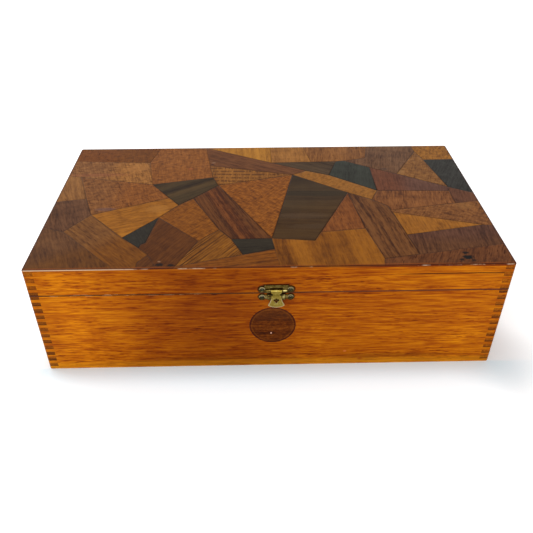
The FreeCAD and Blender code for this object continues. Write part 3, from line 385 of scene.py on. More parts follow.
def board_wood(name, turn, seed, tones, inner):
    """Varnished board; turn brings its grain to X, tones are brightness stops along its length."""
    g = Graph(name)
    x, y, z = g.axes(g.place)
    out_x, out_y = g.size_of(x), g.size_of(y)
    nx, ny, nz = g.axes(g.facing)
    along = g.moved(g.place, (seed * 0.31, seed * 0.17, seed * 0.07), turn)
    run, across, up = g.axes(g.moved(g.place, (0, 0, 0), turn))
    ring = g.plus(g.distance(g.plus(across, 0.22), g.plus(up, -0.33)),
                  g.times(g.noise(along, (3.0, 12, 12), 2), 0.02))
    tone, height = board_tone(g, along, ring, run, g.maths("MAXIMUM", out_x, out_y), seed)
    colour = varnished(g, tone, run, z, tones)
    end = g.rise(g.size_of(nx if turn == 0 else ny), 0.55, 0.75)
    colour, in_row = end_grain(g, colour, x, y, z, ring, end, seed)
    joint_line = joint_lines(g, out_x, out_y, in_row, end, turn)
    colour = g.mixed(g.times(joint_line, 0.7), colour, tint(44, 18, 6))

    # Corners and foot worn paler, partly a painted highlight on their arrises, dirt and painted shade in the
    # saw cut, and the cut's edges worn pale here and there with a painted highlight.
    corner = g.times(*near_sides(g, out_x, out_y, 1.6 * MM, 0.5 * MM))
    foot = g.rise(z, 2.6 * MM, 0.3 * MM)
    worn = g.times(g.maths("MAXIMUM", corner, foot), g.rise(g.noise(g.place, (60, 60, 160), 3), 0.4, 0.68))
    colour = g.mixed(g.times(worn, 0.5), colour, tint(232, 164, 56))
    from_cut = g.size_of(g.plus(z, -CASE_TOP))
    # Wear and a painted highlight along the seam's edges.
    worn_seam_highlight = g.times(g.rise(from_cut, 0.85 * MM, 0.6 * MM), g.rise(from_cut, 0.25 * MM, 0.45 * MM),
                     g.rise(g.noise(g.place, (120, 120, 500), 3, 0.6), 0.5, 0.6), g.rise(run, -0.03, -0.08))
    # Dirt and painted shade in the saw cut.
    dirt = g.times(g.rise(from_cut, 0.8 * MM, 0.4 * MM),
                   g.rise(g.noise(g.place, (45, 45, 10), 3), 0.06, 0.4))
    seam_dirt_and_shade_colour = g.mixed(g.rise(run, 0.0, 0.05), tint(48, 14, 6), tint(70, 28, 28))
    colour = g.mixed(g.times(dirt, 0.94), colour, seam_dirt_and_shade_colour)
    colour = g.mixed(g.times(worn_seam_highlight, 0.5), colour, tint(232, 176, 120))
    if name == "board_front":
        colour = front_marks(g, colour, x, z)

    # The inside was never varnished, and the rims are bare saw cuts.
    outside = near_sides(g, out_x, out_y, BOARD - 0.1 * MM, BOARD - 0.3 * MM)
    within = g.times(*[g.flipped(side) for side in outside])
    rim = g.times(g.rise(g.size_of(nz), 0.6, 0.9), g.rise(from_cut, 0.3 * MM, 0.1 * MM))
    bare = g.maths("MAXIMUM", within, rim)
    bare_colour = g.ramp(tone, ((0.1, tint(112, 72, 40)), (0.5, inner), (0.9, tint(190, 142, 92))))
    colour = g.mixed(bare, colour, bare_colour)

    ripple = g.noise(g.place, (30, 30, 60), 2)
    saw = g.noise(g.moved(g.place, (0, 0, 0), 20, (900, 12, 1)), 1.0, 1)
    height = g.plus(g.times(height, 0.35), g.times(ripple, 2.0), g.times(joint_line, -1.6),
                    g.times(dirt, -0.6), g.times(rim, saw, 1.5))
    smudge = g.noise(g.place, (22, 22, 22), 3)
    rough = g.plus(0.26, g.times(smudge, 0.14), g.times(bare, 0.3), g.times(end, 0.12), g.times(worn, 0.15))
    return g.finish(colour, rough, g.bump(height, 0.05 * MM, 0.45), VARNISH)


# Brightness stops along each board; the front's dip left of the middle is painted shade.
FRONT_TONES = ((0.0, 0.84), (0.08, 1.0), (0.17, 0.76), (0.25, 0.56), (0.34, 0.45), (0.42, 0.45), (0.5, 0.54),
               (0.59, 0.7), (0.8, 0.78), (0.92, 0.9), (1.0, 0.84))
BACK_TONES = ((0.0, 0.8), (0.2, 0.88), (0.45, 0.68), (0.7, 0.84), (1.0, 0.74))
SIDE_TONES = ((0.2, 0.72), (0.45, 0.84), (0.62, 0.72), (0.8, 0.82))


def panel_wood():
    """Thin plain board for the bottom and under the veneers."""
    g = Graph("panel_wood")
    along = g.moved(g.place, (0.4, 0.2, 0.1), 0)
    tone, height, _ = grain(g, along, FIGURES["plain"], 0.8)
    arches = g.noise(g.moved(g.place, (0.02, 0.015, 0), 0, (5, 22, 22)), 1.0, 2, 0.4, 0.8)
    rings = g.maths("SINE", g.times(arches, 70))
    tone = g.plus(tone, g.times(rings, 0.14))
    colour = g.ramp(tone, ((0.05, tint(122, 78, 42)), (0.5, tint(172, 124, 74)), (0.95, tint(206, 164, 110))))
    stain = g.rise(g.noise(g.place, 14, 3), 0.45, 0.7)
    colour = g.mixed(g.times(stain, 0.3), colour, tint(120, 78, 44))
    rough = g.plus(0.5, g.times(g.noise(g.place, 30, 2), 0.18))
    return g.finish(colour, rough, g.bump(height, 0.06 * MM, 0.5), DRY_WOOD)


def disc_wood():
    """Dark inlay with level grain, a darker outline and a small pale chip."""
    g = Graph("disc_wood")
    low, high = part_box("front_disc")
    middle, radius = (low + high) / 2, (high.x - low.x) / 2
    tone, height, _ = grain(g, g.moved(g.place, (0.9, 0.3, 0.2)), FIGURES["board"], 0.9)
    x, _, z = g.axes(g.place)
    across, level = g.plus(x, -middle.x), g.plus(z, -middle.z)
    speckle = g.noise(g.place, (330, 330, 620), 3, 0.65)
    tone = g.plus(tone, g.times(g.plus(speckle, -0.5), 0.85))
    bent = g.plus(level, g.times(g.plus(g.noise(g.place, (60, 1, 120), 2), -0.5), 4 * MM))
    top_band = g.times(g.rise(bent, 4 * MM, 7 * MM), g.rise(bent, 13 * MM, 9 * MM))
    low_band = g.times(g.rise(bent, -6 * MM, -7.5 * MM), g.rise(bent, -12 * MM, -9 * MM))
    tone = g.plus(tone, g.times(g.maths("MAXIMUM", top_band, low_band), -0.12))
    colour = g.ramp(tone, ((0.05, tint(46, 16, 3)), (0.35, tint(72, 29, 4)), (0.5, tint(94, 43, 6)),
                           (0.9, tint(136, 74, 18))))
    colour = g.mixed(g.times(g.rise(level, 2 * MM, 9 * MM), 0.3), colour, tint(84, 48, 24))
    away = g.distance(across, level)
    outline = g.rise(away, radius - 1.1 * MM, radius - 0.5 * MM)
    ring = g.times(g.rise(away, radius - 2.3 * MM, radius - 1.9 * MM),
                   g.rise(away, radius - 1.4 * MM, radius - 1.7 * MM))
    colour = g.mixed(g.times(outline, 0.7), colour, tint(58, 18, 16))
    colour = g.mixed(g.times(ring, 0.25), colour, tint(150, 86, 24))
    chip = g.plus(g.distance(g.times(g.plus(across, 1.1 * MM), 1.5), g.plus(level, 8.0 * MM)),
                  g.times(g.noise(g.place, 900, 2), 0.9 * MM))
    bruise = g.rise(chip, 3.4 * MM, 1.4 * MM)
    pale = g.rise(chip, 1.5 * MM, 1.0 * MM)
    colour = g.mixed(g.times(bruise, 0.6), colour, tint(44, 16, 4))
    colour = g.mixed(pale, colour, tint(228, 176, 150))
    height = g.plus(g.times(height, 0.4), g.times(outline, -0.8), g.times(pale, -3.0))
    rough = g.plus(0.28, g.times(g.noise(g.place, 40, 2), 0.12), g.times(pale, 0.2))
    return g.finish(colour, rough, g.bump(height, 0.06 * MM, 0.5), VARNISH)


# ---------------- veneers

# The separate veneers of each wood, in order from left to right by their middles.
PIECES = {
    "veneer_cherry": ("back_red", "figured", "red_wedge", "back_centre"),
    "veneer_ebony": ("left_black", "small_black", "back_black", "right_black"),
    "veneer_macassar": ("west_black", "centre_black", "streaked"),
    "veneer_mahogany": ("left_purple", "back_left", "long_strip", "right_red", "front_right"),
    "veneer_maple": ("left_pale", "back_pale", "right_wedge"),
    "veneer_oak": ("left_tan", "front_long", "middle_tan", "front_centre", "lined", "right_long"),
    "veneer_rosewood": ("small_grey", "slanted_strip", "right_purple", "right_edge"),
    "veneer_satinwood": ("left_bright", "back_wedge", "front_bright", "bright_strip", "right_bright",
                         "back_right"),
    "veneer_teak": ("west_brown", "right_tan"),
    "veneer_walnut": ("front_left", "diamond", "upright_strip", "back_brown"),
    "veneer_zebrano": ("striped",),
}

# Each veneer's figure, its grain in degrees from X, its colour as it looks under the sheen, its contrast,
# and for some a second colour with the direction in degrees in which the first passes into it.
LOOKS = {
    "back_left": ("mottled", 98, (112, 73, 49), 0.7, (180, (115, 74, 51))),
    "left_tan": ("mottled", 106, (128, 88, 60), 1.0, (-10, (144, 98, 60))),
    "back_red": ("mottled", 94, (132, 85, 54), 0.8),
    "back_wedge": ("lines", 90, (166, 115, 60), 0.45),
    "back_pale": ("smooth", 90, (149, 103, 63), 0.9),
    "back_centre": ("plain", 84, (130, 89, 60), 0.9),
    "back_brown": ("smooth", 78, (105, 78, 62), 1.3),
    "back_right": ("curly", 168, (140, 95, 55), 1.0),
    "right_black": ("black", 66, (63, 61, 58), 1.0),
    "right_wedge": ("mottled", 72, (128, 89, 58), 0.9),
    "long_strip": ("plain", -28, (106, 72, 54), 0.9),
    "streaked": ("lines", -30, (80, 66, 55), 0.7),
    "back_black": ("black", 80, (64, 64, 59), 0.7),
    "bright_strip": ("curly", -33, (143, 96, 53), 0.55),
    "centre_black": ("macassar", -3, (59, 50, 42), 0.5, (-70, (70, 53, 39))),
    "right_red": ("smooth", 84, (104, 68, 54), 0.9, (0, (98, 70, 60))),
    "right_tan": ("flecked", 82, (121, 78, 51), 1.0),
    "right_edge": ("smooth", 76, (98, 66, 52), 1.0),
    "right_long": ("mottled", 60, (122, 79, 49), 1.0),
    "right_bright": ("smooth", 96, (146, 93, 43), 0.9),
    "right_purple": ("plain", 84, (92, 60, 42), 1.1, (90, (88, 58, 46))),
    "front_right": ("flecked", 66, (97, 58, 36), 1.0),
    "upright_strip": ("lines", 98, (99, 64, 42), 1.5),
    "red_wedge": ("flecked", 100, (121, 73, 44), 0.8),
    "front_bright": ("banded", 97, (126, 76, 32), 1.0),
    "front_centre": ("lines", 8, (115, 66, 27), 1.0),
    "small_black": ("black", 2, (51, 45, 38), 0.8),
    "slanted_strip": ("lines", 112, (91, 58, 40), 1.1),
    "lined": ("rows", 90, (136, 91, 53), 0.7),
    "figured": ("curly", 55, (130, 79, 43), 0.9),
    "west_black": ("macassar", 34, (68, 57, 46), 0.9),
    "west_brown": ("mottled", 112, (124, 82, 53), 0.9, (0, (128, 80, 48))),
    "left_pale": ("plain", 108, (132, 91, 58), 0.8),
    "left_purple": ("smooth", 110, (97, 67, 50), 1.2),
    "left_bright": ("smooth", 20, (149, 95, 43), 1.0),
    "left_black": ("black", 118, (52, 48, 43), 0.8),
    "middle_tan": ("mottled", 52, (124, 75, 38), 0.8),
    "striped": ("stripes", 53, (124, 77, 34), 0.9),
    "diamond": ("smooth", 60, (88, 53, 32), 1.0),
    "small_grey": ("plain", 60, (83, 49, 24), 1.0),
    "front_long": ("plain", 132, (110, 67, 33), 0.9, (133, (116, 76, 44))),
    "front_left": ("smooth", 112, (93, 58, 32), 1.2, (120, (94, 62, 41))),
}


ROW_STEP = 6.3 * MM


def row_dashes(g, along):
    """Short dark dashes in rows across the grain."""
    x, _, _ = g.axes(along)
    bent = g.plus(x, g.times(g.noise(along, (20, 30, 1), 1), 4 * MM))
    rows = g.rise(g.maths("SINE", g.times(bent, 2 * math.pi / ROW_STEP)), -0.2, 0.5)
    dashes = g.rise(g.noise(along, (150, 520, 1), 2, 0.6), 0.4, 0.54)
    return g.times(rows, dashes)


def dark_stripes(g, along):
    """Sharp dark stripes down the grain, crowded in places."""
    x, y, _ = g.axes(along)
    bent = g.plus(y, g.times(g.noise(along, (12, 40, 1), 2), 6 * MM))
    stripe = g.noise(g.joined(g.times(x, 8), g.times(bent, 620), 0.0), 1.0, 1)
    crowd = g.rise(g.noise(along, (10, 45, 1), 1), 0.34, 0.52)
    return g.times(g.rise(stripe, 0.52, 0.6), crowd)


# Knocks, knots, stains and one painted highlight: place in mm from the lid's front left corner, half sizes,
# colour and strength.
MARKS = {
    "long_strip": (((130, 163), (1.6, 1.0), (40, 22, 20), 0.85),
                   ((131, 167), (2.2, 1.2), (150, 118, 92), 0.45)),
    "back_brown": (((290, 151), (3.6, 2.4), (62, 46, 40), 0.55),),
    "back_red": (((110, 155), (2.5, 1.2), (150, 70, 44), 0.5),),
    "west_brown": (((45, 84), (9.0, 3.0), (96, 70, 66), 0.55),),
    "front_right": (((326, 14.5), (2.6, 1.6), (10, 7, 7), 0.95), ((326.5, 9), (4.6, 2.7), (7, 6, 6), 1.0),
                    ((321, 6), (2.0, 1.5), (12, 8, 7), 0.9), ((329.5, 5), (1.8, 1.3), (16, 9, 8), 0.85)),
    # The first mark on diamond is a painted highlight on a nail hole.
    "diamond": (((98, 8.8), (1.3, 1.0), (160, 120, 90), 0.5), ((98.5, 4.8), (3.4, 2.0), (20, 13, 12), 0.92),
                ((107, 3.8), (3.0, 1.7), (22, 13, 12), 0.88)),
    "small_grey": (((97, 5.5), (3.0, 2.0), (26, 16, 14), 0.85),),
    "right_wedge": (((303, 145), (5.0, 4.0), (150, 108, 62), 0.5),),
    "left_tan": (((60, 157), (12, 7), (168, 112, 58), 0.45),
                 ((28, 145), (30, 3), (140, 80, 52), 0.35)),
    "right_long": (((345, 83), (9, 6), (146, 98, 52), 0.45),),
    "left_bright": (((88, 84), (10, 7), (168, 112, 48), 0.4),),
    "centre_black": (((208, 70), (24, 5), (84, 64, 46), 0.35), ((216, 54), (22, 4), (82, 62, 44), 0.3)),
}


def marked(g, colour, marks):
    """The colour with each of its marks laid over it, ragged at the edge."""
    x, y, _ = g.axes(g.place)
    ragged = g.times(g.plus(g.noise(g.place, 520, 3, 0.6), -0.5), 1.3)
    for (mark_x, mark_y), size, shade, strength in marks:
        across, up = g.plus(x, HALF_X - mark_x * MM), g.plus(y, HALF_Y - mark_y * MM)
        colour = spotted(g, colour, across, up, size, ragged, (1.25, 0.55), shade, strength)
    return colour


def lid_edges(g, colour):
    """The lid's rim: an orange-brown strip, a dark line of old varnish, a front arris worn pale with a
    painted highlight, and a painted highlight along the back and sides.
    """
    x, y, z = g.axes(g.place)
    to_side = g.plus(HALF_X, g.times(g.size_of(x), -1))
    to_back = g.plus(HALF_Y, g.times(y, -1))
    to_front = g.plus(y, HALF_Y)
    patchy = g.noise(g.place, (48, 48, 48), 3)
    near = g.maths("MINIMUM", g.maths("MINIMUM", to_side, to_back), to_front)
    strip = g.times(g.rise(to_front, 2.7 * MM, 2.0 * MM), g.rise(patchy, 0.25, 0.55))
    colour = g.mixed(g.times(strip, 0.55), colour, tint(134, 66, 16))
    dark = g.times(g.rise(near, 1.5 * MM, 0.8 * MM), g.rise(patchy, 0.22, 0.52))
    colour = g.mixed(g.times(dark, 0.8), colour, tint(62, 20, 10))
    side = g.rise(z, LID_TOP - 0.45 * MM, LID_TOP - 0.85 * MM)
    side_colour = g.mixed(g.noise(g.place, (40, 40, 300), 3), tint(140, 66, 6), tint(196, 108, 14))
    colour = g.mixed(g.times(side, 0.85), colour, side_colour)
    wave = g.times(g.plus(g.noise(g.place, (60, 1, 1), 3), -0.5), 1.6 * MM)
    off_line = g.size_of(g.plus(z, wave, 1.25 * MM - LID_TOP))
    red_line = g.times(g.rise(off_line, 0.6 * MM, 0.25 * MM), g.rise(to_front, 0.5 * MM, 0.1 * MM),
                       g.rise(x, 0.02, 0.08), g.rise(patchy, 0.28, 0.44))
    colour = g.mixed(g.times(red_line, 0.85), colour, tint(92, 18, 10))
    # The front arris: worn pale, with a painted highlight, strongest towards both ends.
    arris_wear_and_highlight = g.times(g.rise(to_front, 0.5 * MM, 0.15 * MM), g.rise(z, LID_TOP - 0.9 * MM, LID_TOP - 0.6 * MM))
    ends = g.plus(g.times(g.rise(x, 0.0, -0.06), 0.1), g.times(g.rise(x, -0.08, -0.14), 0.2),
                  g.times(g.rise(x, 0.07, 0.15), 0.2))
    worn = g.rise(g.plus(g.noise(g.place, (44, 44, 44), 4, 0.65), ends), 0.61, 0.74)
    colour = g.mixed(g.times(arris_wear_and_highlight, worn, g.plus(0.34, g.times(ends, 1.3))), colour, tint(238, 204, 168))
    # A thin painted highlight along the back and side arrises.
    rim = g.maths("MINIMUM", to_side, to_back)
    rim = g.times(g.rise(rim, 0.45 * MM, 0.15 * MM), g.rise(patchy, 0.3, 0.6),
                  g.rise(z, LID_TOP - 0.8 * MM, LID_TOP - 0.5 * MM))
    return g.mixed(g.times(rim, 0.55), colour, tint(186, 138, 104))


def veneer_wood(name, middle, half, look):
    """One veneer's satin wood: its own figure, grain direction and colour, dark in the joints round it."""
    kind, turn, seen, contrast, *drift = look
    g = Graph(name)
    seed = len(bpy.data.materials) * 0.613      # a place in the noise of its own for each material
    along = g.moved(g.place, (seed, seed * 0.37, 0.0), -turn)
    special = kind in ("rows", "stripes")
    tone, height, pores = grain(g, along, FIGURES["plain" if special else kind], 1.68 * contrast)
    base = under_sheen(seen, middle.y)
    colour = shades(g, tone, base)
    for way, second in drift:
        away = g.moved(g.place, (-middle.x, -middle.y, 0), -way)
        share = g.rise(g.axes(away)[0], -0.5 * half, 0.5 * half)
        colour = g.mixed(share, colour, shades(g, tone, under_sheen(second, middle.y)))
    if kind == "rows":
        colour = g.mixed(g.times(row_dashes(g, along), 0.8), colour, scaled(base, 0.32, 0.26, 0.25))
    if kind == "stripes":
        colour = g.mixed(g.times(dark_stripes(g, along), 0.95), colour, scaled(base, 0.26, 0.22, 0.25))
    if name == "slanted_strip":
        off = g.size_of(g.axes(g.moved(g.place, (-middle.x, -middle.y, 0), -turn))[1])
        core = g.rise(off, 9 * MM, 3 * MM)
        colour = g.mixed(g.times(core, 0.75), colour, shades(g, tone, under_sheen((108, 64, 41), middle.y)))
    if kind == "macassar":
        brown = g.rise(g.noise(along, (4, 90, 1), 2), 0.46, 0.62)
        colour = g.mixed(g.times(brown, 0.35), colour, shades(g, tone, under_sheen((88, 67, 48), middle.y)))
    if name in MARKS:
        colour = marked(g, colour, MARKS[name])

    # Glue and dirt in the joints.
    edge = g.attribute("edge")
    patchy = g.rise(g.noise(g.place, 70, 2), 0.2, 0.65)
    joint = g.times(edge, g.plus(0.55, g.times(patchy, 0.45)))
    colour = g.mixed(joint, colour, tint(24, 12, 8))
    colour = lid_edges(g, colour)

    ripple = g.noise(g.place, (38, 38, 38), 3)
    height = g.plus(g.times(height, 0.45), g.times(ripple, 2.2), g.times(joint, -1.0))
    smudge = g.noise(g.place, (17, 17, 17), 3, 0.6)
    rough = g.plus(0.34, g.times(smudge, 0.22), g.times(tone, -0.04), g.times(pores, 0.15))
    return g.finish(colour, rough, g.bump(height, 0.05 * MM, 0.4), SATIN)


JOINT_BEVEL = 0.16 * MM
JOINT_TONE = 0.85 * MM


def placed(name, data):
    """A new object in the scene."""
    obj = bpy.data.objects.new(name, data)
    bpy.context.scene.collection.objects.link(obj)
    return obj


def mesh_of(piece, name, sharp):
    """The bmesh as a mesh, smooth but for its edges sharper than an angle in degrees."""
    mesh = bpy.data.meshes.new(name)
    piece.to_mesh(mesh)
    piece.free()
    for polygon in mesh.polygons:
        polygon.use_smooth = True
    mesh.set_sharp_from_angle(angle=math.radians(sharp))
    return mesh


def top_of(piece):
    """The largest face that looks up."""
    return max(piece.faces, key=lambda face: (face.normal.z > 0.99) * face.calc_area())


def islands(mesh):
    """The separate solids of a mesh, each as a bmesh with flat areas merged, from left to right."""
    whole = bmesh.new()
    whole.from_mesh(mesh)
    bmesh.ops.remove_doubles(whole, verts=whole.verts, dist=0.001 * MM)
    left = set(whole.faces)
    found = []
    while left:
        group, waiting = [], [left.pop()]
        while waiting:
            face = waiting.pop()
            group.append(face)
            for edge in face.edges:
                for other in edge.link_faces:
                    if other in left:
                        left.remove(other)
                        waiting.append(other)
        piece = bmesh.new()
        copies = {}
        for face in sorted(group, key=lambda f: f.index):
            corners = []
            for vert in face.verts:
                if vert not in copies:
                    copies[vert] = piece.verts.new(vert.co)
                corners.append(copies[vert])
            piece.faces.new(corners)
        piece.normal_update()
        bmesh.ops.dissolve_limit(piece, angle_limit=math.radians(0.5), verts=piece.verts, edges=piece.edges)
        piece.normal_update()
        found.append(piece)
    whole.free()
    return sorted(found, key=lambda piece: top_of(piece).calc_center_median_weighted().x)


def soften_joints(piece):
    """A small bevel round the veneer where it meets its neighbours, and a value that is 1 in the joint."""
    layer = piece.verts.layers.float.new("edge")
    top = top_of(piece)
    sharp = []
    for edge in top.edges:
        for face in edge.link_faces:
            if face is not top and abs(face.normal.z) < 0.2:
                sharp.append(edge)
    bmesh.ops.bevel(piece, geom=sharp, offset=JOINT_BEVEL, offset_type="OFFSET", segments=2, profile=0.5,
                    affect="EDGES", clamp_overlap=True)
    piece.normal_update()
    top = top_of(piece)
    bmesh.ops.inset_region(piece, faces=[top], thickness=JOINT_TONE, depth=0.0, use_even_offset=True)
    piece.normal_update()
    top = top_of(piece)
    inner = set(top.verts)
    for vert in piece.verts:
        inside = abs(vert.co.x) < HALF_X - 1.2 * MM and abs(vert.co.y) < HALF_Y - 1.2 * MM
        if vert in inner:
            vert[layer] = 0.0
        elif vert.co.z > LID_TOP - 0.01 * MM:
            vert[layer] = 0.55 if inside else 0.25
        else:
            vert[layer] = 1.0 if inside else 0.3
    return top.calc_center_median_weighted(), math.sqrt(top.calc_area()) / 2


def sort_faces(piece):
    """Puts the faces in the order of their corners, because an inset lists them in another order each run."""
    piece.verts.index_update()
    found = sorted(piece.faces, key=lambda face: sorted(vert.index for vert in face.verts))
    piece.faces.sort(key=found.index)


def lay_veneers():
    """One piece for each veneer, in place of the nodes that hold them."""
    for node_name in sorted(PIECES):
        for name, piece in zip(PIECES[node_name], islands(NODES[node_name].data)):
            middle, half = soften_joints(piece)
            sort_faces(piece)
            mesh = mesh_of(piece, name, sharp=42)
            obj = placed("veneer_piece_" + name, mesh)
            mesh.materials.append(veneer_wood(name, middle, half, LOOKS[name]))
            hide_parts(node_name)
            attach(obj, "lid")


# ---------------- metal

METAL = {"Metallic": 1.0}


def brass(name, bright, dull, grime):
    """Aged brass: cloudy tarnish, dark grime in the hollows, and fine scratches."""
    g = Graph(name)
    cloud = g.noise(g.place, 420, 4, 0.6)
    spots = g.rise(g.noise(g.place, 1500, 3, 0.6), 0.52, 0.72)
    colour = g.mixed(g.rise(cloud, 0.3, 0.68), dull, bright)
    colour = g.mixed(g.times(spots, grime), colour, tint(46, 40, 14))
    scratch = g.noise(g.moved(g.place, (0, 0, 0), 0, (500, 500, 9000)), 1.0, 2)
    height = g.plus(g.times(cloud, 1.0), g.times(scratch, 0.3), g.times(spots, -0.4))
    rough = g.plus(0.26, g.times(cloud, 0.16), g.times(spots, 0.22))
    return g.finish(colour, rough, g.bump(height, 0.03 * MM, 0.5), METAL)


def round_mark(g, x, z, middle, radius, soft):
    """1 inside a circle on the front, 0 outside; its sizes are in mm."""
    away = g.distance(g.plus(x, -middle[0] * MM), g.plus(z, -middle[1] * MM))
    return g.rise(away, (radius + soft) * MM, (radius - soft) * MM)


def box_mark(g, x, z, box, soft):
    """1 inside a box on the front: its low and high X from the catch's middle and low and high Z, in mm."""
    low_x, high_x, low_z, high_z = box
    beside = g.size_of(g.plus(x, -CATCH_X - (low_x + high_x) / 2 * MM))
    over = g.size_of(g.plus(z, -(low_z + high_z) / 2 * MM))
    return g.times(g.rise(beside, ((high_x - low_x) / 2 + soft) * MM, ((high_x - low_x) / 2 - soft) * MM),
                   g.rise(over, ((high_z - low_z) / 2 + soft) * MM, ((high_z - low_z) / 2 - soft) * MM))


def tongue_marks(g, colour, x, z, share, rim):
    """A painted highlight on the rim, only round the bell, painted shade on the keyhole's lip, most on both
    sides near its top, and a neck that is darker where it bends."""
    near_hole = box_mark(g, x, z, (-2.4, 2.4, 67.4, 73.0), 0.3)
    share = g.times(share, g.rise(z, 73.5 * MM, 70.5 * MM), g.flipped(g.times(near_hole, 0.75)))
    # Painted highlight on the rim round the bell.
    colour = g.mixed(share, colour, rim)
    # Painted shade on the keyhole's lip.
    lobe_shade = g.distance(g.plus(g.size_of(g.plus(x, -CATCH_X)), -1.2 * MM), g.plus(z, -70.9 * MM))
    colour = g.mixed(g.times(g.rise(lobe_shade, 1.3 * MM, 0.85 * MM), 0.92), colour, tint(48, 24, 8))
    hollow = box_mark(g, x, z, (-4.2, 4.2, 74.8, 76.6), 0.8)
    return g.mixed(g.times(hollow, 0.45), colour, tint(96, 84, 22))


def plate_marks(g, colour, x, z):
    """Painted shade at the window's edge and in the corners beside the tongue's neck, painted highlights on
    the bead ends and on the ears' upper rims, and the ears darker round their nails.
    """
    # Painted shade: the window's upper edge and the corners beside the neck.
    dark = box_mark(g, x, z, (-4.8, 4.8, 80.2, 81.3), 0.25)
    for corner in ((-5.4, -2.2, 73.9, 75.3), (2.2, 5.4, 73.9, 75.3)):
        dark = g.maths("MAXIMUM", dark, box_mark(g, x, z, corner, 0.3))
    colour = g.mixed(g.times(dark, 0.92), colour, tint(30, 14, 6))
    # Painted highlight on the bead ends.
    bead_highlight = g.maths("MAXIMUM", box_mark(g, x, z, (5.2, 7.6, 78.2, 79.9), 0.4),
                   box_mark(g, x, z, (4.6, 6.4, 72.6, 74.6), 0.5))
    colour = g.mixed(g.times(bead_highlight, 0.65), colour, tint(214, 200, 130))
    for ear_x, ear_z in PLATE_EARS:
        # A painted highlight on each ear's upper rim, and the ear darker round its nail.
        wide = round_mark(g, x, z, (ear_x, ear_z + 0.2), 2.1, 0.2)
        low = round_mark(g, x, z, (ear_x, ear_z - 0.4), 1.9, 0.25)
        below = g.rise(z, (ear_z - 0.2) * MM, (ear_z + 0.6) * MM)
        ear_highlight = g.times(wide, g.flipped(low), below, 0.8 if ear_x < 0 else 0.6)
        colour = g.mixed(ear_highlight, colour, tint(206, 190, 150))
        colour = g.mixed(g.times(low, 0.7), colour, tint(54, 44, 22))
    return colour


def catch_metal(name, middle, bright, dark, rim, rim_share):
    """The catch's brass: clouded and spotted darker, with its own colour round the outline (a painted
    highlight on the tongue), and painted shade where it comes close to the wood.
    """
    g = Graph(name)
    x, y, z = g.axes(g.place)
    cloud = g.noise(g.place, 380, 3, 0.6)
    fine = g.noise(g.place, 1300, 3, 0.6)
    colour = g.mixed(g.rise(cloud, 0.48, 0.7), middle, bright)
    colour = g.mixed(g.times(g.rise(cloud, 0.46, 0.3), 0.8), colour, dark)
    colour = g.mixed(g.times(g.rise(fine, 0.54, 0.7), 0.45), colour, dark)
    patchy = g.plus(0.6, g.times(g.rise(fine, 0.35, 0.6), 0.4))
    share = g.times(g.attribute("edge"), patchy, rim_share)
    if name == "catch_tongue":
        colour = tongue_marks(g, colour, x, z, share, rim)
    else:
        colour = plate_marks(g, g.mixed(share, colour, rim), x, z)
    # Painted shade where the brass comes close to the wood.
    behind = g.rise(y, -HALF_Y - 0.75 * MM, -HALF_Y - 0.35 * MM)
    colour = g.mixed(g.times(behind, 0.9), colour, tint(34, 26, 8))
    height = g.plus(cloud, g.times(fine, 0.6))
    rough = g.plus(0.24, g.times(cloud, 0.18), g.times(g.rise(fine, 0.5, 0.7), 0.15))
    return g.finish(colour, rough, g.bump(height, 0.03 * MM, 0.5), METAL)


def nail_iron():
    """Blackened nail heads, with a painted highlight on their upper side."""
    g = Graph("dark_nail")
    _, _, nz = g.axes(g.facing)
    spots = g.rise(g.noise(g.place, 1100, 3, 0.6), 0.4, 0.65)
    colour = g.mixed(spots, tint(60, 66, 49), tint(24, 26, 17))
    # Painted highlight where the head faces up.
    colour = g.mixed(g.rise(nz, 0.45, 0.62), colour, tint(131, 127, 101))
    rough = g.plus(0.34, g.times(spots, 0.3))
    return g.finish(colour, rough, g.bump(g.noise(g.place, 1600, 2), 0.03 * MM, 0.4), METAL)


CATCH_GRID = 0.4 * MM


def from_outline(x, z, outline):
    """How far a point of the front is from the nearest of the outline's lines."""
    nearest = 1.0
    for (from_x, from_z), (to_x, to_z) in outline:
        run_x, run_z = to_x - from_x, to_z - from_z
        length = run_x * run_x + run_z * run_z
        share = ((x - from_x) * run_x + (z - from_z) * run_z) / length if length else 0.0
        share = min(1.0, max(0.0, share))
        nearest = min(nearest, math.hypot(x - from_x - share * run_x, z - from_z - share * run_z))
    return nearest


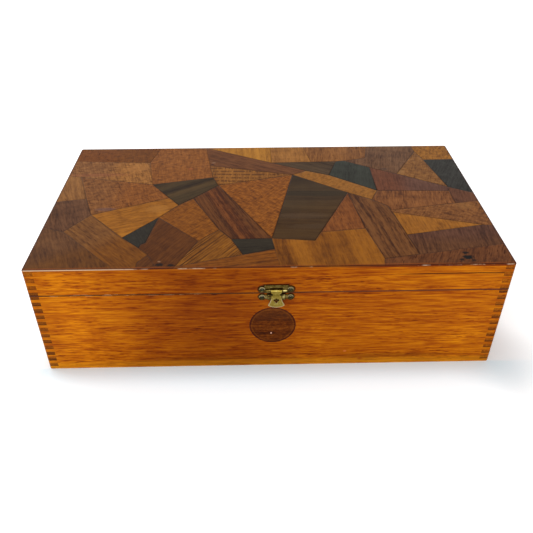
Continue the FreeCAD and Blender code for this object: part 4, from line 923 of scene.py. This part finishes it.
def rimmed_copy(name, body, ring):
    """A finely cut copy of a catch piece, whose value edge falls from 1 at its front faces' outline to 0."""
    piece = bmesh.new()
    piece.from_mesh(NODES[name].data)
    bmesh.ops.remove_doubles(piece, verts=piece.verts, dist=0.001 * MM)
    piece.normal_update()
    layer = piece.verts.layers.float.new("edge")

    def front_faces():
        """The faces seen from the front, but not those against the box."""
        return {face for face in piece.faces
                if face.normal.y < -0.99 and face.calc_center_median().y < -HALF_Y - 0.3 * MM}

    front = front_faces()
    outline = []
    for edge in piece.edges:
        if len(edge.link_faces) == 2 and sum(face in front for face in edge.link_faces) == 1:
            outline.append([(vert.co.x, vert.co.z) for vert in edge.verts])
    for axis in (0, 2):
        places = [vert.co[axis] for vert in piece.verts]
        cut, end = min(places) + CATCH_GRID, max(places)
        while cut < end:
            spot, facing = Vector((0, 0, 0)), Vector((0, 0, 0))
            spot[axis], facing[axis] = cut, 1.0
            everything = list(piece.verts) + list(piece.edges) + list(piece.faces)
            bmesh.ops.bisect_plane(piece, geom=everything, plane_co=spot, plane_no=facing, dist=0.0001 * MM)
            cut += CATCH_GRID
    piece.normal_update()
    in_front = set()
    for face in front_faces():
        in_front.update(face.verts)
    for vert in in_front:
        vert[layer] = max(0.0, 1.0 - from_outline(vert.co.x, vert.co.z, outline) / ring)
    mesh = mesh_of(piece, name + "_rimmed", sharp=35)
    obj = placed(name + "_rimmed", mesh)
    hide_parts(name)
    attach(obj, body)
    return mesh


def fit_catch():
    """Finely cut copies of the plates and the tongue, in place of their nodes."""
    plates = catch_metal("catch_plates", tint(104, 86, 39), tint(156, 140, 82), tint(57, 46, 16),
                         tint(35, 24, 9), 0.95)
    # The tongue's pale rim colour is a painted highlight on its edges.
    tongue = catch_metal("catch_tongue", tint(148, 128, 54), tint(174, 157, 82), tint(105, 90, 31),
                         tint(228, 214, 172), 0.9)
    rimmed_copy("catch_upper_plate", "lid", 0.6 * MM).materials.append(plates)
    rimmed_copy("catch_lower_plate", "case", 0.6 * MM).materials.append(plates)
    rimmed_copy("catch_tongue", "tongue", 0.75 * MM).materials.append(tongue)


def steel(name, colour, rust):
    """Dull steel with dark spots."""
    g = Graph(name)
    spots = g.rise(g.noise(g.place, 900, 3, 0.6), 0.45, 0.7)
    shade = g.mixed(g.times(spots, 0.7), colour, rust)
    rough = g.plus(0.34, g.times(spots, 0.3))
    height = g.noise(g.place, 1600, 2)
    return g.finish(shade, rough, g.bump(height, 0.03 * MM, 0.4), METAL)


# ---------------- giving out the materials

def paint(material, *names):
    """Gives nodes a material."""
    for name in names:
        NODES[name].data.materials.clear()
        NODES[name].data.materials.append(material)


def paint_nodes():
    """The materials of every node that stays as it is."""
    inner = tint(160, 112, 66)
    front = board_wood("board_front", 0, 1.0, FRONT_TONES, inner)
    back = board_wood("board_back", 0, 2.0, BACK_TONES, inner)
    left = board_wood("board_left", 90, 3.0, SIDE_TONES, inner)
    right = board_wood("board_right", 90, 4.0, SIDE_TONES, inner)
    paint(front, "case_front", "lid_front")
    paint(back, "case_back", "lid_back")
    paint(left, "case_left", "lid_left")
    paint(right, "case_right", "lid_right")
    paint(panel_wood(), "case_bottom", "lid_panel")
    paint(disc_wood(), "front_disc")
    paint(brass("hinge_brass", tint(178, 150, 79), tint(124, 101, 47), 0.6),
          "hinge_left_case_leaf", "hinge_left_lid_leaf", "hinge_right_case_leaf", "hinge_right_lid_leaf")
    paint(brass("screw_brass", tint(138, 112, 58), tint(80, 62, 30), 0.9),
          "hinge_case_screws", "hinge_lid_screws")
    paint(steel("pin_steel", tint(141, 137, 130), tint(66, 52, 41)), "hinge_left_pin", "hinge_right_pin")
    paint(nail_iron(), "catch_upper_nails", "catch_lower_nails")


# ---------------- studio

FLOOR_REACH = 4.0


def studio_floor():
    """A plain white floor that keeps the shadow round the box, its glow held low near the box and further out
    at the right front, which adds painted shadow there.
    """
    mesh = bpy.data.meshes.new("floor")
    corners = [(x * FLOOR_REACH, y * FLOOR_REACH, 0) for x, y in ((-1, -1), (1, -1), (1, 1), (-1, 1))]
    mesh.from_pydata(corners, [], [(0, 1, 2, 3)])
    floor = placed("floor", mesh)
    g = Graph("floor")
    x, y, _ = g.axes(g.place)
    beside = g.maths("MAXIMUM", g.plus(g.size_of(x), -HALF_X), 0.0)
    before = g.maths("MAXIMUM", g.plus(g.size_of(y), -HALF_Y), 0.0)
    away = g.distance(beside, before)
    # Painted shadow: less glow further out to the right of the box, in front.
    painted_shadow_side = g.times(g.rise(x, HALF_X - 0.04, HALF_X + 0.02), g.rise(y, -0.01, -0.09))
    lit = g.times(away, g.plus(1.0, g.times(painted_shadow_side, -0.66)))
    white = g.plus(0.12, g.times(g.rise(lit, -0.004, 0.024), 0.34), g.times(g.rise(lit, 0.03, 0.6), 0.2))
    # The varnish throws an orange light on the floor in front, which the photograph doesn't have.
    in_front = g.times(g.rise(y, 0.002 - HALF_Y, -0.001 - HALF_Y), g.rise(away, 0.055, 0.0))
    cool = g.mixed(in_front, (1, 1, 1, 1), (0.84, 0.96, 1.02, 1))
    pale = g.mixed(in_front, (0.86, 0.86, 0.86, 1), (0.74, 0.82, 0.86, 1))
    diffuse = g.add("ShaderNodeBsdfDiffuse", {"Color": pale}).outputs[0]
    seen = g.add("ShaderNodeLightPath").outputs["Is Camera Ray"]
    glow = g.add("ShaderNodeEmission", {"Color": cool, "Strength": g.times(white, seen)}).outputs[0]
    g.show(g.add("ShaderNodeAddShader", {0: diffuse, 1: glow}).outputs[0])
    mesh.materials.append(g.material)


AMBIENT, SEEN_WHITE = 0.5, 1.0


def studio_world():
    """Even pale surroundings, white where the camera or a reflection sees them."""
    world = bpy.data.worlds.new("studio")
    bpy.context.scene.world = world
    world.use_nodes = True
    tree = world.node_tree
    tree.nodes.clear()
    path = tree.nodes.new("ShaderNodeLightPath")
    seen = path.outputs["Is Camera Ray"]
    for ray in ("Is Transmission Ray", "Is Glossy Ray"):
        either = tree.nodes.new("ShaderNodeMath")
        either.operation = "MAXIMUM"
        tree.links.new(seen, either.inputs[0])
        tree.links.new(path.outputs[ray], either.inputs[1])
        seen = either.outputs[0]
    mix = tree.nodes.new("ShaderNodeMixShader")
    tree.links.new(seen, mix.inputs[0])
    for place, strength in ((1, AMBIENT), (2, SEEN_WHITE)):
        light = tree.nodes.new("ShaderNodeBackground")
        light.inputs["Color"].default_value = (1, 1, 1, 1)
        light.inputs["Strength"].default_value = strength
        tree.links.new(light.outputs[0], mix.inputs[place])
    out = tree.nodes.new("ShaderNodeOutputWorld")
    tree.links.new(mix.outputs[0], out.inputs[0])


def soft_lamp(name, place, size, power):
    """A square lamp aimed at the middle of the box."""
    lamp = bpy.data.lights.new(name, "AREA")
    lamp.shape = "SQUARE"
    lamp.size = size
    lamp.energy = power
    obj = placed(name, lamp)
    obj.location = place
    obj.rotation_mode = "QUATERNION"
    obj.rotation_quaternion = (Vector((0, 0, 0.05)) - Vector(place)).to_track_quat("-Z", "Y")


def studio_lights():
    """A key lamp high up behind the box, and a fill lamp in front of it."""
    soft_lamp("key", (-0.9, 0.7, 1.9), 1.4, 22)
    soft_lamp("fill", (-0.3, -2.2, 1.1), 1.6, 26)


def camera():
    """A standing view of the front from a little left of the middle."""
    data = bpy.data.cameras.new("camera")
    data.sensor_width = 36.0
    data.lens = 40.61
    eye = placed("camera", data)
    place = (-0.0125, -0.4498, 0.3588)
    forward = Vector((0.02097, 0.80415, -0.5936)).normalized()
    right = Vector((0.99962, -0.0262, 0.0012)).normalized()
    up = right.cross(forward).normalized()
    right = forward.cross(up)
    turn = Matrix((right, up, -forward)).transposed()
    eye.matrix_world = Matrix.Translation(place) @ turn.to_4x4()
    bpy.context.scene.camera = eye


bpy.context.scene.view_settings.view_transform = "Standard"
paint_nodes()
lay_veneers()
fit_catch()
studio_floor()
studio_world()
studio_lights()
camera()
